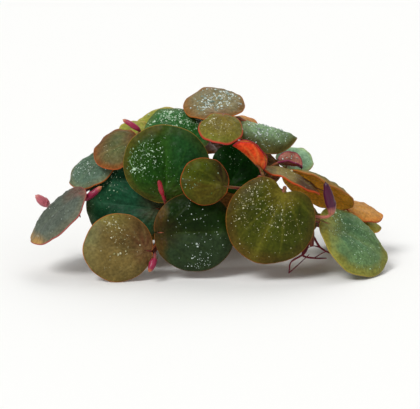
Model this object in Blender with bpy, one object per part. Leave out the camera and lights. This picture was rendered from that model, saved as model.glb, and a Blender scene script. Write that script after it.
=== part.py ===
"""Red root floater: a heap of round, pouched leaves, rolled young leaves, buds and crimson roots
on one branching stem.

Sizes and places are in millimetres and angles in degrees. +X is to the right, +Y is away from the
front and +Z is up. The origin is under the middle of the heap, on the surface that it rests on.
"""

from typing import NamedTuple

import bmesh
import bpy
import numpy as np
from mathutils import Matrix, Vector

MM = 0.001

# Driving dimensions
LEAF_THICKNESS = 0.6
PETIOLE_DIAMETER = 1.0
STEM_DIAMETER = 1.4
ROOT_DIAMETER = 0.6
ROOT_TIP_DIAMETER = 0.4
BUD_NECK = 0.8
BUD_TIP = 0.4
TOUCH_GAP = 0.36
BRANCH_RISE = 1.0

# How far a petiole runs on at its dip, and how far it then keeps that way and the way of the stem's
# side, as shares of its length
PETIOLE_KNEE = 1.0
BLADE_PULL = 0.18
STEM_PULL = 0.33

# The notch where the petiole joins a blade: its width, half its opening beside the petiole, and half
# its opening at the rim seen from the blade's middle
NOTCH_WIDTH = 1.24
NOTCH_AT_PETIOLE = 70.0
NOTCH_AT_MIDDLE = 2.0
LOBE_START = 0.8

# The bulge of the two halves beside the midrib, as shares of the blade's radius
POUCH_HEIGHT = 0.09
POUCH_START = 0.3
CREASE_ROUNDING = 0.07

# Mesh fineness. A bevel of 1 makes a tube with six sides.
BLADE_STEPS = 16
SMALL_BLADE_STEPS = 12
SMALL_BLADE = 10.5
BLADE_RINGS = (0.0, 0.52, 1.0)
PETIOLE_STEPS = 3
PETIOLE_SIDES = 6
STEM_BEVEL = 1
THIN_BEVEL = 1
STEM_SPACING = 3.2
BUD_SPACING = 1.3
ROOT_SPACING = 1.8

COLOURS = {
    "deep_green": "2B4A20",
    "mid_green": "3F6A2C",
    "olive": "6B6A2A",
    "bronze": "7A4A24",
    "grey_green": "5F7352",
    "gold": "B98A2E",
    "red": "C23A22",
    "pink": "B4475A",
    "crimson": "8E1F38",
    "purple": "6A2348",
    "stem": "8A2A2E",
    "root": "7D1C2A",
}
LEAF_ROUGHNESS = 0.35
STEM_ROUGHNESS = 0.4


class Leaf(NamedTuple):
    """A leaf: its blade's middle, width, facing (turn to the right from the front, rise from level),
    the way its tip points seen from its upper side, and the stem that it joins, with how far along.
    The petiole leaves the blade at `dip` below it. `length` is the blade's length as a share of its
    width. `opening` is half the notch's opening in degrees, `lobes` how far its lobes are rounded off."""

    middle: tuple
    across: float
    facing: tuple
    tip: float
    joins: tuple
    colour: str
    fold: float = 6.0
    curl: float = 14.0
    arch: float = 12.0
    notch: float = 0.24
    dip: float = 35.0
    length: float = 1.0
    opening: float = 0.0
    lobes: float = 0.12
    on_floor: bool = False


class Stem(NamedTuple):
    """A stem: the stem that it forks from, how far along that one, and the points that it runs through."""

    forks_from: tuple
    through: tuple


class Bud(NamedTuple):
    """A bud on a neck: the stem that it joins, the foot and the tip of its swollen part, and its width."""

    joins: tuple
    foot: tuple
    tip: tuple
    width: float
    colour: str


class Root(NamedTuple):
    """A root: the stem that it joins, how far along, and the points that it runs through."""

    joins: tuple
    through: tuple


STEMS = {
    "stem_main": Stem(
        (),
        ((-9, -2.0, 16.4), (-5, -2.2, 17.2), (0, -2.4, 17.6), (6, -2.4, 17.4), (12.4, -2.8, 16.8)),
    ),
    "stem_left": Stem(
        ("stem_main", 0.1),
        (
            (-9.4, 0.4, 16.4),
            (-13.0, 0.2, 16.8),
            (-18.5, -0.2, 16.6),
            (-24.6, -1.0, 14.8),
            (-26.0, -4.6, 13.4),
            (-28.2, -3.2, 11.0),
        ),
    ),
    "stem_upper_left": Stem(
        ("stem_main", 0.16), ((-9.6, -0.6, 20.8), (-13.2, -0.9, 24.2), (-14.8, -2.6, 26.0))
    ),
    "stem_front_left": Stem(
        ("stem_main", 0.36), ((-4.8, -7.4, 13.8), (-8.2, -11.9, 9.6), (-10.8, -13.8, 5.0))
    ),
    "stem_top": Stem(("stem_main", 0.6), ((3.6, -1.0, 21.6), (3.4, -1.4, 25.2), (2.2, -3.8, 28.2))),
    "stem_front_right": Stem(
        ("stem_main", 0.96),
        (
            (13.6, -7.0, 15.8),
            (15.4, -11.0, 15.0),
            (18.2, -12.0, 12.6),
            (19.8, -11.8, 9.4),
            (19.9, -11.6, 6.2),
        ),
    ),
    "stem_young": Stem(
        ("stem_front_right", 0.36), ((13.8, -13.4, 16.2), (11.6, -13.2, 17.6), (9.8, -12.4, 19.4))
    ),
    "stem_right_back": Stem(("stem_main", 0.98), ((15.2, 0.6, 12.6), (19.6, 2.6, 7.6), (25.0, 1.6, 6.8))),
    "stem_back": Stem(("stem_main", 0.5), ((0.4, 2.6, 16.0), (0.2, 6.8, 12.4), (0.0, 9.6, 8.6))),
    "stem_back_left": Stem(("stem_main", 0.25), ((-8.0, 2.8, 14.0), (-11.4, 5.8, 11.0), (-13.6, 7.6, 8.0))),
    "stem_back_right": Stem(("stem_main", 0.82), ((9.6, 2.4, 14.8), (11.4, 6.0, 11.6), (12.6, 8.4, 8.4))),
}

LEAVES = {
    "leaf_front_left": Leaf(
        (-17.3, -17.0, 7.0), 13.6, (4, 12), 173, ("stem_front_left", 0.92), "olive", on_floor=True
    ),
    "leaf_front_middle": Leaf(
        (-2.7, -15.6, 9.5), 16.0, (4, 10), 0, ("stem_front_left", 0.74), "deep_green"
    ),
    "leaf_front_right": Leaf(
        (11.8, -17.2, 12.2),
        17.4,
        (0, 10),
        -114,
        ("stem_front_right", 0.42),
        "olive",
        curl=8.0,
        opening=56.0,
        lobes=0.42,
        notch=0.34,
    ),
    "leaf_dark_left": Leaf(
        (-16.7, -6.8, 13.0), 16.9, (-20, 16), 178, ("stem_front_left", 0.34), "deep_green"
    ),
    "leaf_big_left": Leaf(
        (-8.3, -11.0, 21.9), 17.4, (-2, 10), 90, ("stem_front_left", 0.36), "mid_green", length=0.88
    ),
    "leaf_small_middle": Leaf((-0.8, -16.0, 19.5), 9.4, (0, 12), 167, ("stem_front_right", 0.26), "olive"),
    "leaf_dark_middle": Leaf((5.9, -4.9, 20.2), 11.0, (4, 16), 60, ("stem_main", 0.68), "deep_green"),
    "leaf_low_right": Leaf(
        (28.7, -10.4, 6.5), 17.0, (53, 43), -48, ("stem_front_right", 0.78), "grey_green", on_floor=True
    ),
    "leaf_low_left": Leaf((-29.9, -10.0, 12.2), 14.8, (-68, 46), -92, ("stem_left", 0.88), "grey_green"),
    "leaf_grey_left": Leaf((-23.5, -2.3, 19.5), 10.2, (-40, 50), -96, ("stem_left", 0.42), "grey_green"),
    "leaf_upper_left": Leaf(
        (-18.4, -5.2, 24.2), 9.8, (-30, 42), -141, ("stem_upper_left", 0.89), "bronze"
    ),
    "leaf_upper_left_back": Leaf(
        (-15.4, 3.4, 26.1), 7.4, (-20, 62), 100, ("stem_upper_left", 0.7), "olive"
    ),
    "leaf_top_back_left": Leaf((-9.2, 7.6, 27.3), 11.8, (-8, 66), 80, ("stem_upper_left", 0.5), "olive"),
    "leaf_dark_top": Leaf(
        (-6.2, -1.6, 27.3), 13.8, (6, 56), 110, ("stem_upper_left", 0.66), "deep_green"
    ),
    "leaf_top": Leaf((1.0, 2.5, 32.2), 12.6, (-4, 68), 104, ("stem_top", 0.98), "olive"),
    "leaf_crown_small": Leaf((2.3, -9.1, 28.9), 9.0, (4, 58), -100, ("stem_top", 0.93), "olive", dip=15.0),
    "leaf_upper_right": Leaf(
        (11.7, 1.0, 27.4), 12.8, (70, 72), -70, ("stem_top", 0.8), "grey_green", fold=48.0, dip=-20.0
    ),
    "leaf_shaded_right": Leaf(
        (16.2, -8.97, 19.15),
        8.9,
        (86, 66),
        -90,
        ("stem_young", 0.9),
        "olive",
        fold=2.0,
        curl=8.0,
        length=1.46,
    ),
    "leaf_gold_right": Leaf((22.1, -1.0, 15.8), 16.0, (138, 52), -131, ("stem_main", 0.97), "gold"),
    "leaf_bronze_right": Leaf(
        (31.3, 3.1, 10.05), 8.6, (60, 66), -60, ("stem_right_back", 0.98), "bronze", dip=62.0
    ),
    "leaf_low_back_right": Leaf((31.4, 5.1, 7.8), 8.6, (70, 60), -80, ("stem_right_back", 0.9), "olive"),
    "leaf_teal_right": Leaf(
        (17.4, 5.0, 20.3), 8.0, (20, 60), 40, ("stem_back_right", 0.36), "grey_green"
    ),
    "leaf_orange_back": Leaf((6.5, 9.0, 26.1), 9.4, (20, 66), 60, ("stem_top", 0.52), "bronze"),
    "leaf_red_rolled": Leaf(
        (7.9, -12.6, 23.8),
        5.8,
        (77, 52),
        93,
        ("stem_young", 0.98),
        "red",
        fold=-34.0,
        curl=-92.0,
        length=1.34,
    ),
    "leaf_pink_young": Leaf(
        (16.0, -3.2, 20.6),
        5.2,
        (30, 60),
        -30,
        ("stem_main", 0.92),
        "pink",
        fold=-24.0,
        curl=-50.0,
        notch=0.34,
    ),
    "leaf_tan_behind": Leaf(
        (19.2, -8.7, 10.6), 5.6, (20, 10), -90, ("stem_front_right", 0.56), "bronze", dip=-55.0
    ),
    "leaf_back_left_low": Leaf(
        (-13.8, 13.6, 7.2), 14.4, (200, 24), 10, ("stem_back_left", 0.9), "mid_green", on_floor=True
    ),
    "leaf_back_left": Leaf((-19.3, 7.1, 16.1), 12.6, (228, 40), 74, ("stem_back_left", 0.6), "deep_green"),
    "leaf_back_middle_low": Leaf(
        (0.2, 16.2, 7.4), 14.2, (180, 22), -60, ("stem_back", 0.9), "olive", on_floor=True
    ),
    "leaf_back_middle": Leaf((-6.8, 9.5, 18.4), 13.4, (186, 42), 80, ("stem_back", 0.4), "mid_green"),
    "leaf_back_right_low": Leaf(
        (13.9, 14.4, 7.2), 14.2, (160, 24), 170, ("stem_back_right", 0.9), "grey_green", on_floor=True
    ),
    "leaf_back_right": Leaf((8.4, 9.8, 18.3), 14.0, (166, 44), 100, ("stem_back_right", 0.4), "olive"),
    "leaf_back_top": Leaf((1.2, 8.6, 22.6), 10.4, (172, 60), -96, ("stem_top", 0.6), "olive"),
    "leaf_left_side_low": Leaf(
        (-17.5, 1.5, 6.2), 12.0, (262, 46), -60, ("stem_back_left", 0.8), "olive", on_floor=True
    ),
    "leaf_right_side_low": Leaf(
        (26.5, 9.0, 6.0), 11.6, (118, 46), -110, ("stem_back_right", 0.98), "mid_green", on_floor=True
    ),
}

BUDS = {
    "bud_left": Bud(("stem_left", 0.985), (-31.8, -1.2, 11.7), (-34.5, -1.6, 13.8), 1.9, "pink"),
    "bud_left_red": Bud(("stem_left", 0.76), (-24.2, -8.7, 14.5), (-20.8, -9.7, 17.2), 1.3, "crimson"),
    "bud_upper_left": Bud(
        ("stem_upper_left", 0.98), (-13.6, -6.6, 27.8), (-16.7, -6.2, 29.8), 1.1, "crimson"
    ),
    "bud_on_big_left": Bud(
        ("stem_front_left", 0.6), (-8.9, -13.4, 16.4), (-9.6, -14.0, 19.3), 1.0, "crimson"
    ),
    "bud_front_left": Bud(
        ("stem_front_left", 0.98), (-10.4, -16.8, 4.6), (-11.4, -18.4, 2.4), 1.4, "crimson"
    ),
    "bud_purple_right": Bud(
        ("stem_front_right", 0.7), (23.3, -14.6, 12.8), (22.2, -15.2, 19.2), 2.0, "purple"
    ),
}

ROOTS = {
    "root_right_long": Root(
        ("stem_front_right", 0.97), ((18.2, -12.2, 4.2), (20.4, -12.4, 3.6), (22.8, -11.6, 3.4))
    ),
    "root_right_far": Root(("stem_front_right", 0.93), ((21.8, -10.6, 5.2), (24.2, -10.2, 3.8))),
    "root_right_high": Root(("stem_front_right", 0.9), ((18.6, -10.4, 6.0), (17.6, -10.0, 5.2))),
    "root_right_loop": Root(
        ("stem_front_right", 0.93), ((18.4, -14.0, 5.0), (15.9, -13.8, 3.2), (15.5, -13.4, 0.9))
    ),
    "root_left": Root(("stem_left", 0.86), ((-25.6, -7.6, 12.4), (-25.2, -8.0, 10.8))),
}


def unit(vector):
    return np.asarray(vector, float) / np.linalg.norm(vector)


def smooth_path(points, spacing):
    """Points about `spacing` apart on one smooth curve through the given points (Catmull-Rom)."""
    points = np.array(points, float)
    ends = np.vstack([2 * points[0] - points[1], points, 2 * points[-1] - points[-2]])
    pieces = []
    for before, start, stop, after in zip(ends[:-3], ends[1:-2], ends[2:-1], ends[3:]):
        count = max(1, round(np.linalg.norm(stop - start) / spacing))
        t = np.linspace(0, 1, count, endpoint=False)[:, None]
        straight = (stop - before) * t
        bow = (2 * before - 5 * start + 4 * stop - after) * t**2
        swing = (3 * start - before - 3 * stop + after) * t**3
        pieces.append(start + (straight + bow + swing) / 2)
    return np.vstack([*pieces, points[-1:]])


def spot(path, share):
    """The point at a share of a path's length, and the way that the path runs there."""
    steps = np.linalg.norm(np.diff(path, axis=0), axis=1)
    walked = np.concatenate([[0], np.cumsum(steps)])
    place = share * walked[-1]
    point = np.array([np.interp(place, walked, path[:, axis]) for axis in range(3)])
    step = min(np.searchsorted(walked, place, side="right"), len(steps)) - 1
    return point, unit(path[step + 1] - path[step])


def touch_point(path, share, towards):
    """Where a branch meets a stem: just off its skin, on the side that looks towards a point,
    and the way straight out of the stem there."""
    point, run = spot(path, share)
    out = np.asarray(towards, float) - point
    out = unit(out - run * (out @ run))
    return point + out * (STEM_DIAMETER / 2 + TOUCH_GAP), out


def linear_colour(hex_value):
    shares = [int(hex_value[i : i + 2], 16) / 255 for i in (0, 2, 4)]
    return [s / 12.92 if s <= 0.04045 else ((s + 0.055) / 1.055) ** 2.4 for s in shares] + [1.0]


def add_node(name, data, colour, roughness):
    """One named object round its mesh or curve, with its own material."""
    obj = bpy.data.objects.new(name, data)
    bpy.context.scene.collection.objects.link(obj)
    material = bpy.data.materials.new(name + "_finish")
    material.use_nodes = True
    shader = material.node_tree.nodes["Principled BSDF"]
    shader.inputs["Base Color"].default_value = linear_colour(COLOURS[colour])
    shader.inputs["Roughness"].default_value = roughness
    shader.inputs["Metallic"].default_value = 0.0
    data.materials.append(material)
    return obj


def add_tube(name, path, radii, colour, bevel):
    """A closed tube along a path, as a curve with a round bevel, a radius at each point and filled ends."""
    curve = bpy.data.curves.new(name, "CURVE")
    curve.dimensions = "3D"
    curve.bevel_depth = MM
    curve.bevel_resolution = bevel
    curve.use_fill_caps = True
    spline = curve.splines.new("POLY")
    spline.points.add(len(path) - 1)
    for point, place, radius in zip(spline.points, path * MM, radii):
        point.co = (*place, 1)
        point.radius = radius
    add_node(name, curve, colour, STEM_ROUGHNESS)


def stem_paths():
    """The middle line of each stem. A branch starts just off the stem that it forks from."""
    paths = {}
    for name, stem in STEMS.items():
        through = list(stem.through)
        if stem.forks_from:
            parent, share = stem.forks_from
            start, out = touch_point(paths[parent], share, through[0])
            through = [start, start + out * BRANCH_RISE / 2, start + out * BRANCH_RISE, *through]
        paths[name] = smooth_path(through, STEM_SPACING)
    return paths


def add_bud(name, bud, stem_path):
    """A neck from the stem, a swollen middle and a blunt tip, round one smooth path."""
    start = touch_point(stem_path, bud.joins[1], bud.foot)[0]
    path = smooth_path((start, bud.foot, bud.tip), BUD_SPACING)
    walked = np.concatenate([[0], np.cumsum(np.linalg.norm(np.diff(path, axis=0), axis=1))])
    neck = np.linalg.norm(np.array(bud.foot) - start)
    share = np.clip((walked - neck) / (walked[-1] - neck), 0, 1)
    swell = np.sin(np.pi * share**0.75) ** 0.8
    radii = BUD_NECK / 2 + (bud.width - BUD_NECK) / 2 * swell
    radii[-1] = BUD_TIP / 2
    add_tube(name, path, radii, bud.colour, THIN_BEVEL)


def add_root(name, root, stem_path):
    """A root that thins from the stem to its tip."""
    start = touch_point(stem_path, root.joins[1], root.through[0])[0]
    path = smooth_path((start, *root.through), ROOT_SPACING)
    radii = np.linspace(ROOT_DIAMETER / 2, ROOT_TIP_DIAMETER / 2, len(path))
    add_tube(name, path, radii, "root", THIN_BEVEL)


def leaf_axes(leaf):
    """The leaf's own directions, as rows: along its midrib to the tip, across, out of its upper side."""
    turn, rise = np.radians(leaf.facing)
    out = np.array([np.sin(turn) * np.cos(rise), -np.cos(turn) * np.cos(rise), np.sin(rise)])
    level = np.array([np.cos(turn), np.sin(turn), 0.0])
    tip = np.radians(leaf.tip)
    along = np.cos(tip) * level + np.sin(tip) * np.cross(out, level)
    return np.array([along, np.cross(out, along), out])


def blade_points(leaf, turn, reach, side):
    """Points of the blade in the leaf's own frame. `turn` goes from -1 to 1 round the petiole, from
    one side of the notch to the other, and `reach` from 0 at the petiole to 1 at the rim. `side` is 1
    above and -1 below.

    Flat, the rim is a circle, measured from the petiole. The halves bulge beside the midrib. Then the
    midrib bends down by `arch` on the way to the rim, and each half by `fold` at the midrib and by
    `curl` more on the way to the rim.
    """
    radius = leaf.across / 2
    hub = radius * (1 - leaf.notch)
    foot = PETIOLE_DIAMETER / 2
    down_notch = foot + (radius * leaf.notch * (1 - leaf.lobes) - foot) * reach
    widest = np.sin(np.radians(NOTCH_AT_PETIOLE))
    notch_side = np.arcsin(np.clip(NOTCH_WIDTH / 2 / down_notch, 0, widest))
    angle = turn * (np.pi - np.maximum(notch_side, np.radians(leaf.opening)))
    rim = hub * np.cos(angle) + np.sqrt(radius**2 - (hub * np.sin(angle)) ** 2)
    lobe = np.clip((np.abs(turn) - LOBE_START) / (1 - LOBE_START), 0, 1)
    rim = rim * (1 - leaf.lobes * lobe**2)
    distance = foot + (rim - foot) * reach
    return bend_blade(leaf, distance * np.cos(angle) - hub, distance * np.sin(angle), side)


def bend_blade(leaf, along, across, side):
    """The bulge and the bends of a blade, at places given along and across its flat round shape."""
    radius = leaf.across / 2
    width, hand = np.abs(across), np.sign(across)
    edge = np.minimum((along**2 + across**2) / radius**2, 1)
    bulge = POUCH_HEIGHT * radius * (1 - np.exp(-((width / radius / POUCH_START) ** 2))) * (1 - edge**2)
    along = along * leaf.length
    curl, arch = np.radians(leaf.curl) / radius, np.radians(leaf.arch) / radius
    fold = np.radians(leaf.fold)
    crease = CREASE_ROUNDING * radius
    rounded = np.sqrt(width**2 + crease**2) - crease
    lean = fold + curl * width
    sideways = hand * (np.sin(lean) - np.sin(fold)) / curl
    drop = (np.cos(fold) - np.cos(fold + curl * rounded)) / curl
    sideways = sideways + side * LEAF_THICKNESS / 2 * np.sin(lean) * across / np.hypot(width, crease)
    height = bulge - drop + side * LEAF_THICKNESS / 2 * np.cos(lean)
    bow = arch * along
    forward = np.sin(bow) / arch + height * np.sin(bow)
    upward = height * np.cos(bow) - (1 - np.cos(bow)) / arch
    return np.stack([forward, sideways, upward], axis=-1)


def blade_grid(leaf):
    """Turns and reaches of a blade's points, evenly spaced round the rim, and fewer on a small blade."""
    steps = SMALL_BLADE_STEPS if leaf.across < SMALL_BLADE else BLADE_STEPS
    round_middle = np.linspace(-1, 1, steps + 1) * np.radians(180 - NOTCH_AT_MIDDLE)
    round_petiole = np.arctan2(np.sin(round_middle), 1 - leaf.notch + np.cos(round_middle))
    return np.meshgrid(round_petiole / round_petiole[-1], BLADE_RINGS)


def set_down(leaf):
    """A leaf that holds the heap up, moved so that its lowest point is on the surface."""
    turn, reach = blade_grid(leaf)
    heights = [blade_points(leaf, turn, reach, side) @ leaf_axes(leaf)[:, 2] for side in (1, -1)]
    x, y, _ = leaf.middle
    return leaf._replace(middle=(x, y, -np.min(heights)))


def petiole_path(leaf, stem_path):
    """In the leaf's own frame, from the notch back and down, clear of the lobes beside it, then straight
    in to the stem."""
    axes, radius = leaf_axes(leaf), leaf.across / 2
    hub = -radius * (1 - leaf.notch)
    foot = (bend_blade(leaf, hub, np.array(0.0), 1) + bend_blade(leaf, hub, np.array(0.0), -1)) / 2
    lean = np.radians(leaf.arch) * leaf.length * hub / radius - np.radians(leaf.dip)
    backwards = np.array([-np.cos(lean), 0.0, np.sin(lean)])
    start = foot + backwards * PETIOLE_KNEE
    stop, away = touch_point(stem_path, leaf.joins[1], (start + backwards) @ axes + leaf.middle)
    stop, arrives = axes @ (stop - leaf.middle), axes @ -away
    far = np.linalg.norm(stop - start)
    first, second = start + backwards * far * BLADE_PULL, stop - arrives * far * STEM_PULL
    t = np.linspace(0, 1, PETIOLE_STEPS + 1)[:, None]
    bend = (1 - t) ** 3 * start + 3 * (1 - t) ** 2 * t * first + 3 * (1 - t) * t**2 * second + t**3 * stop
    return np.vstack([foot, bend])


def petiole_rings(path):
    """Rings of corners round the petiole's path. The first corner of each lies on the leaf's upper side."""
    turns = np.arange(PETIOLE_SIDES) * 2 * np.pi / PETIOLE_SIDES
    top = np.array([0.0, 0.0, 1.0])
    rings = []
    for point, run in zip(path, np.gradient(path, axis=0)):
        run = unit(run)
        top = unit(top - run * (top @ run))
        around = np.outer(np.cos(turns), top) + np.outer(np.sin(turns), np.cross(top, run))
        rings.append(point + PETIOLE_DIAMETER / 2 * around)
    return rings[1:]


def add_sheets(work, leaf):
    """A blade's upper and lower sheets, joined round the rim and down both sides of the notch. The six
    points round the petiole's foot stay open, and come back in their order round it."""
    turn, reach = blade_grid(leaf)
    hub = np.array(-leaf.across / 2 * (1 - leaf.notch))
    sheets = []
    for side in (1, -1):
        centre = work.verts.new(bend_blade(leaf, hub, np.array(0.0), side) * MM)
        rings = blade_points(leaf, turn, reach, side) * MM
        rows = [[work.verts.new(point) for point in ring] for ring in rings]
        for here, beside in zip(rows[0], rows[0][1:]):
            work.faces.new((centre, here, beside))
        for inner, outer in zip(rows, rows[1:]):
            add_strip(work, inner, outer)
        sheets.append((centre, rows))
    (top, upper), (bottom, lower) = sheets
    add_strip(work, upper[-1], lower[-1])
    for end in (0, -1):
        add_strip(work, [row[end] for row in upper], [row[end] for row in lower])
    return [top, upper[0][0], lower[0][0], bottom, lower[0][-1], upper[0][-1]]


def add_strip(work, first, second):
    """Quads between two rows of points."""
    for a, b, c, d in zip(first, first[1:], second[1:], second):
        work.faces.new((a, b, c, d))


def add_leaf(name, leaf, stem_path):
    """A blade with its petiole grown out of the notch, as one closed body, placed by its own frame."""
    if leaf.on_floor:
        leaf = set_down(leaf)
    work = bmesh.new()
    ring = add_sheets(work, leaf)
    for corners in petiole_rings(petiole_path(leaf, stem_path)):
        outer = [work.verts.new(corner * MM) for corner in corners]
        add_strip(work, [*ring, ring[0]], [*outer, outer[0]])
        ring = outer
    work.faces.new(ring)
    bmesh.ops.recalc_face_normals(work, faces=work.faces)
    if work.calc_volume(signed=True) < 0:
        bmesh.ops.reverse_faces(work, faces=work.faces)
    mesh = bpy.data.meshes.new(name)
    work.to_mesh(mesh)
    work.free()
    mesh.shade_smooth()
    obj = add_node(name, mesh, leaf.colour, LEAF_ROUGHNESS)
    placed = Matrix(leaf_axes(leaf).T).to_4x4()
    placed.translation = Vector(leaf.middle) * MM
    obj.matrix_world = placed


def main():
    for old in list(bpy.data.objects):
        bpy.data.objects.remove(old)
    paths = stem_paths()
    for name, path in paths.items():
        add_tube(name, path, np.full(len(path), STEM_DIAMETER / 2), "stem", STEM_BEVEL)
    for name, leaf in LEAVES.items():
        add_leaf(name, leaf, paths[leaf.joins[0]])
    for name, bud in BUDS.items():
        add_bud(name, bud, paths[bud.joins[0]])
    for name, root in ROOTS.items():
        add_root(name, root, paths[root.joins[0]])


if __name__ == "__main__":
    main()
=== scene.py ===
# %% [markdown]
# # Red root floater
#
# A heap of a small floating plant: round, pouched leaves on thin stalks, rolled young leaves, buds and
# crimson roots, all on one branching stem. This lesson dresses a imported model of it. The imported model
# holds the plain solids, one for each leaf, stem, bud and root, and the finished surfaces made here take
# their places.

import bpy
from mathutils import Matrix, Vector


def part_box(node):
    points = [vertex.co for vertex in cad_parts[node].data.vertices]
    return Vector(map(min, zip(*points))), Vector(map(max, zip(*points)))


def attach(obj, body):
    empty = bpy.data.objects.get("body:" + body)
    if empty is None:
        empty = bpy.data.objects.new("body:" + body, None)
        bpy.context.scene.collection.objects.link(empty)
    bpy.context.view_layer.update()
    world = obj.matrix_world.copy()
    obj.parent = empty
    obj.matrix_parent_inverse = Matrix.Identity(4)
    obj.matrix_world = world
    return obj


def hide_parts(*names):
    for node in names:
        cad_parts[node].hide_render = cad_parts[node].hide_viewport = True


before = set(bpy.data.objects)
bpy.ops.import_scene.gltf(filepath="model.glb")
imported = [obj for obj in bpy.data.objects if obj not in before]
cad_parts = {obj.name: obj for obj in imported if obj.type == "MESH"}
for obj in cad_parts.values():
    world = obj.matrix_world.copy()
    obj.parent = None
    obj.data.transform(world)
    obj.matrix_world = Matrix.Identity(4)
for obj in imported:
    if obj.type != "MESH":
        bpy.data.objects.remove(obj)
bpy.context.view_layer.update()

# %% [markdown]
# ## Units and small helpers
#
# The plant is a few centimetres wide, so everything below is worked out in millimetres and turned to
# metres where it enters a mesh. numpy does the geometry: each surface is a whole array of points.

# %% Imports and units
from typing import NamedTuple

import bpy
import numpy as np

MM = 0.001


def unit(vector):
    """The vector divided by its own length."""
    return np.asarray(vector, float) / np.linalg.norm(vector, axis=-1, keepdims=True)


def soft_step(value, low, high):
    """0 below `low`, 1 above `high`, and 3s^2 - 2s^3 between, where s is the share of the way."""
    share = np.clip((value - low) / (high - low), 0, 1)
    return share**2 * (3 - 2 * share)


# %% [markdown]
# ## The camera
#
# The photograph looks slightly down on the heap from the front, 12 degrees above level, from about five
# times the heap's width. A long lens keeps the leaves' round outlines undistorted.

# %% Camera
LOOK_AT = np.array([0.2, 0.0, 11.6])
CAMERA_RISE = np.radians(12.0)
CAMERA_DISTANCE = 350.0

back = np.array([0.0, -np.cos(CAMERA_RISE), np.sin(CAMERA_RISE)])
camera = bpy.data.objects.new("camera", bpy.data.cameras.new("camera"))
camera.data.lens = 150.0
camera.data.sensor_width = 36.0
camera.data.clip_start = 0.01
camera.data.clip_end = 10.0
camera.location = (LOOK_AT + back * CAMERA_DISTANCE) * MM
camera.rotation_euler = (np.pi / 2 - CAMERA_RISE, 0.0, 0.0)
bpy.context.scene.collection.objects.link(camera)
bpy.context.scene.camera = camera
print("camera at", [round(v, 3) for v in camera.location])

# %% [markdown]
# ## Stage and light
#
# A plain pale floor, wide enough to fill the view, and soft light from far away: a key from the upper
# left, a weaker fill from the right, light from above and behind, and a pale sky all round. The lights
# are as wide as large studio panels, so the shadows fade, and far enough off to light the floor evenly.

# %% Floor and lights: the way to each light, its width in degrees, and its strength
FLOOR_RADIUS = 1200.0
FLOOR_SIDES = 96
SKY_STRENGTH = 0.38
LIGHTS = {
    "key_light": ((-0.6, -0.75, 1.0), 26.0, 2.1),
    "back_light": ((0.25, 0.7, 1.0), 50.0, 0.9),
    "fill_light": ((0.9, -0.6, 0.6), 60.0, 0.25),
}

turns = np.linspace(0, 2 * np.pi, FLOOR_SIDES, endpoint=False)
rim_points = np.stack([np.cos(turns), np.sin(turns), np.zeros(FLOOR_SIDES)], 1) * FLOOR_RADIUS * MM
floor_mesh = bpy.data.meshes.new("floor")
floor_mesh.from_pydata(rim_points.tolist(), [], [list(range(FLOOR_SIDES))])
floor = bpy.data.objects.new("floor", floor_mesh)
bpy.context.scene.collection.objects.link(floor)

for light_name, (way, width, strength) in LIGHTS.items():
    light = bpy.data.objects.new(light_name, bpy.data.lights.new(light_name, "SUN"))
    light.data.angle = np.radians(width)
    light.data.energy = strength
    way = unit(np.array(way))
    light.rotation_euler = (np.arccos(way[2]), 0.0, np.arctan2(way[1], way[0]) + np.pi / 2)
    bpy.context.scene.collection.objects.link(light)

sky = bpy.data.worlds.new("pale sky")
sky.use_nodes = True
sky.node_tree.nodes["Background"].inputs["Color"].default_value = (1.0, 1.0, 1.0, 1.0)
sky.node_tree.nodes["Background"].inputs["Strength"].default_value = SKY_STRENGTH
bpy.context.scene.world = sky
bpy.context.scene.view_settings.view_transform = "Standard"
print("floor and", len(LIGHTS), "lights")

# %% [markdown]
# ## How a node is added
#
# Every finish here is a small network of shader nodes. One function adds a node: it sets its properties
# and inputs by name or number, fills a colour ramp's stops, and links inputs to other nodes' outputs.

# %% Node and colour helpers


def linear(hex_colour):
    """An sRGB hex colour as linear red, green, blue and an alpha of 1, by the sRGB curve."""
    shares = np.array([int(hex_colour[i : i + 2], 16) for i in (0, 2, 4)]) / 255
    curve = np.where(shares <= 0.04045, shares / 12.92, ((shares + 0.055) / 1.055) ** 2.4)
    return (*curve.tolist(), 1.0)


def per_mm(size):
    """A texture scale, in repeats a metre, for a pattern whose features are `size` millimetres."""
    return 1000.0 / size


def add(tree, kind, settings=None, links=None):
    """Adds a node of a kind. A setting is an input's number or name, a property, or a ramp's stops."""
    node = tree.nodes.new(kind)
    for key, value in (settings or {}).items():
        if key == "stops":
            while len(node.color_ramp.elements) < len(value):
                node.color_ramp.elements.new(0.5)
            for element, (place, colour) in zip(node.color_ramp.elements, value):
                element.position = place
                element.color = linear(colour)
        elif isinstance(key, int) or key in node.inputs:
            node.inputs[key].default_value = value
        else:
            setattr(node, key, value)
    for key, source in (links or {}).items():
        tree.links.new(source, node.inputs[key])
    return node


def new_finish(name, settings):
    """A material with a Principled shader, whose constant values are set on its own sockets."""
    material = bpy.data.materials.new(name)
    material.use_nodes = True
    shader = material.node_tree.nodes["Principled BSDF"]
    for key, value in settings.items():
        shader.inputs[key].default_value = value
    return material, material.node_tree, shader


# Uncoated card scatters light evenly, so the floor shows the heap's soft shadow and no reflection.
floor_finish = new_finish("matt white card", {"Base Color": linear("F2F2F0"), "Roughness": 0.9})[0]
floor_mesh.materials.append(floor_finish)

# %% [markdown]
# ## The plant's driving dimensions
#
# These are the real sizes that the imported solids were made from. A blade is a nearly round sheet with a
# notch where its stalk joins, and its two halves bulge beside the midrib like a shallow pouch.

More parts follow.
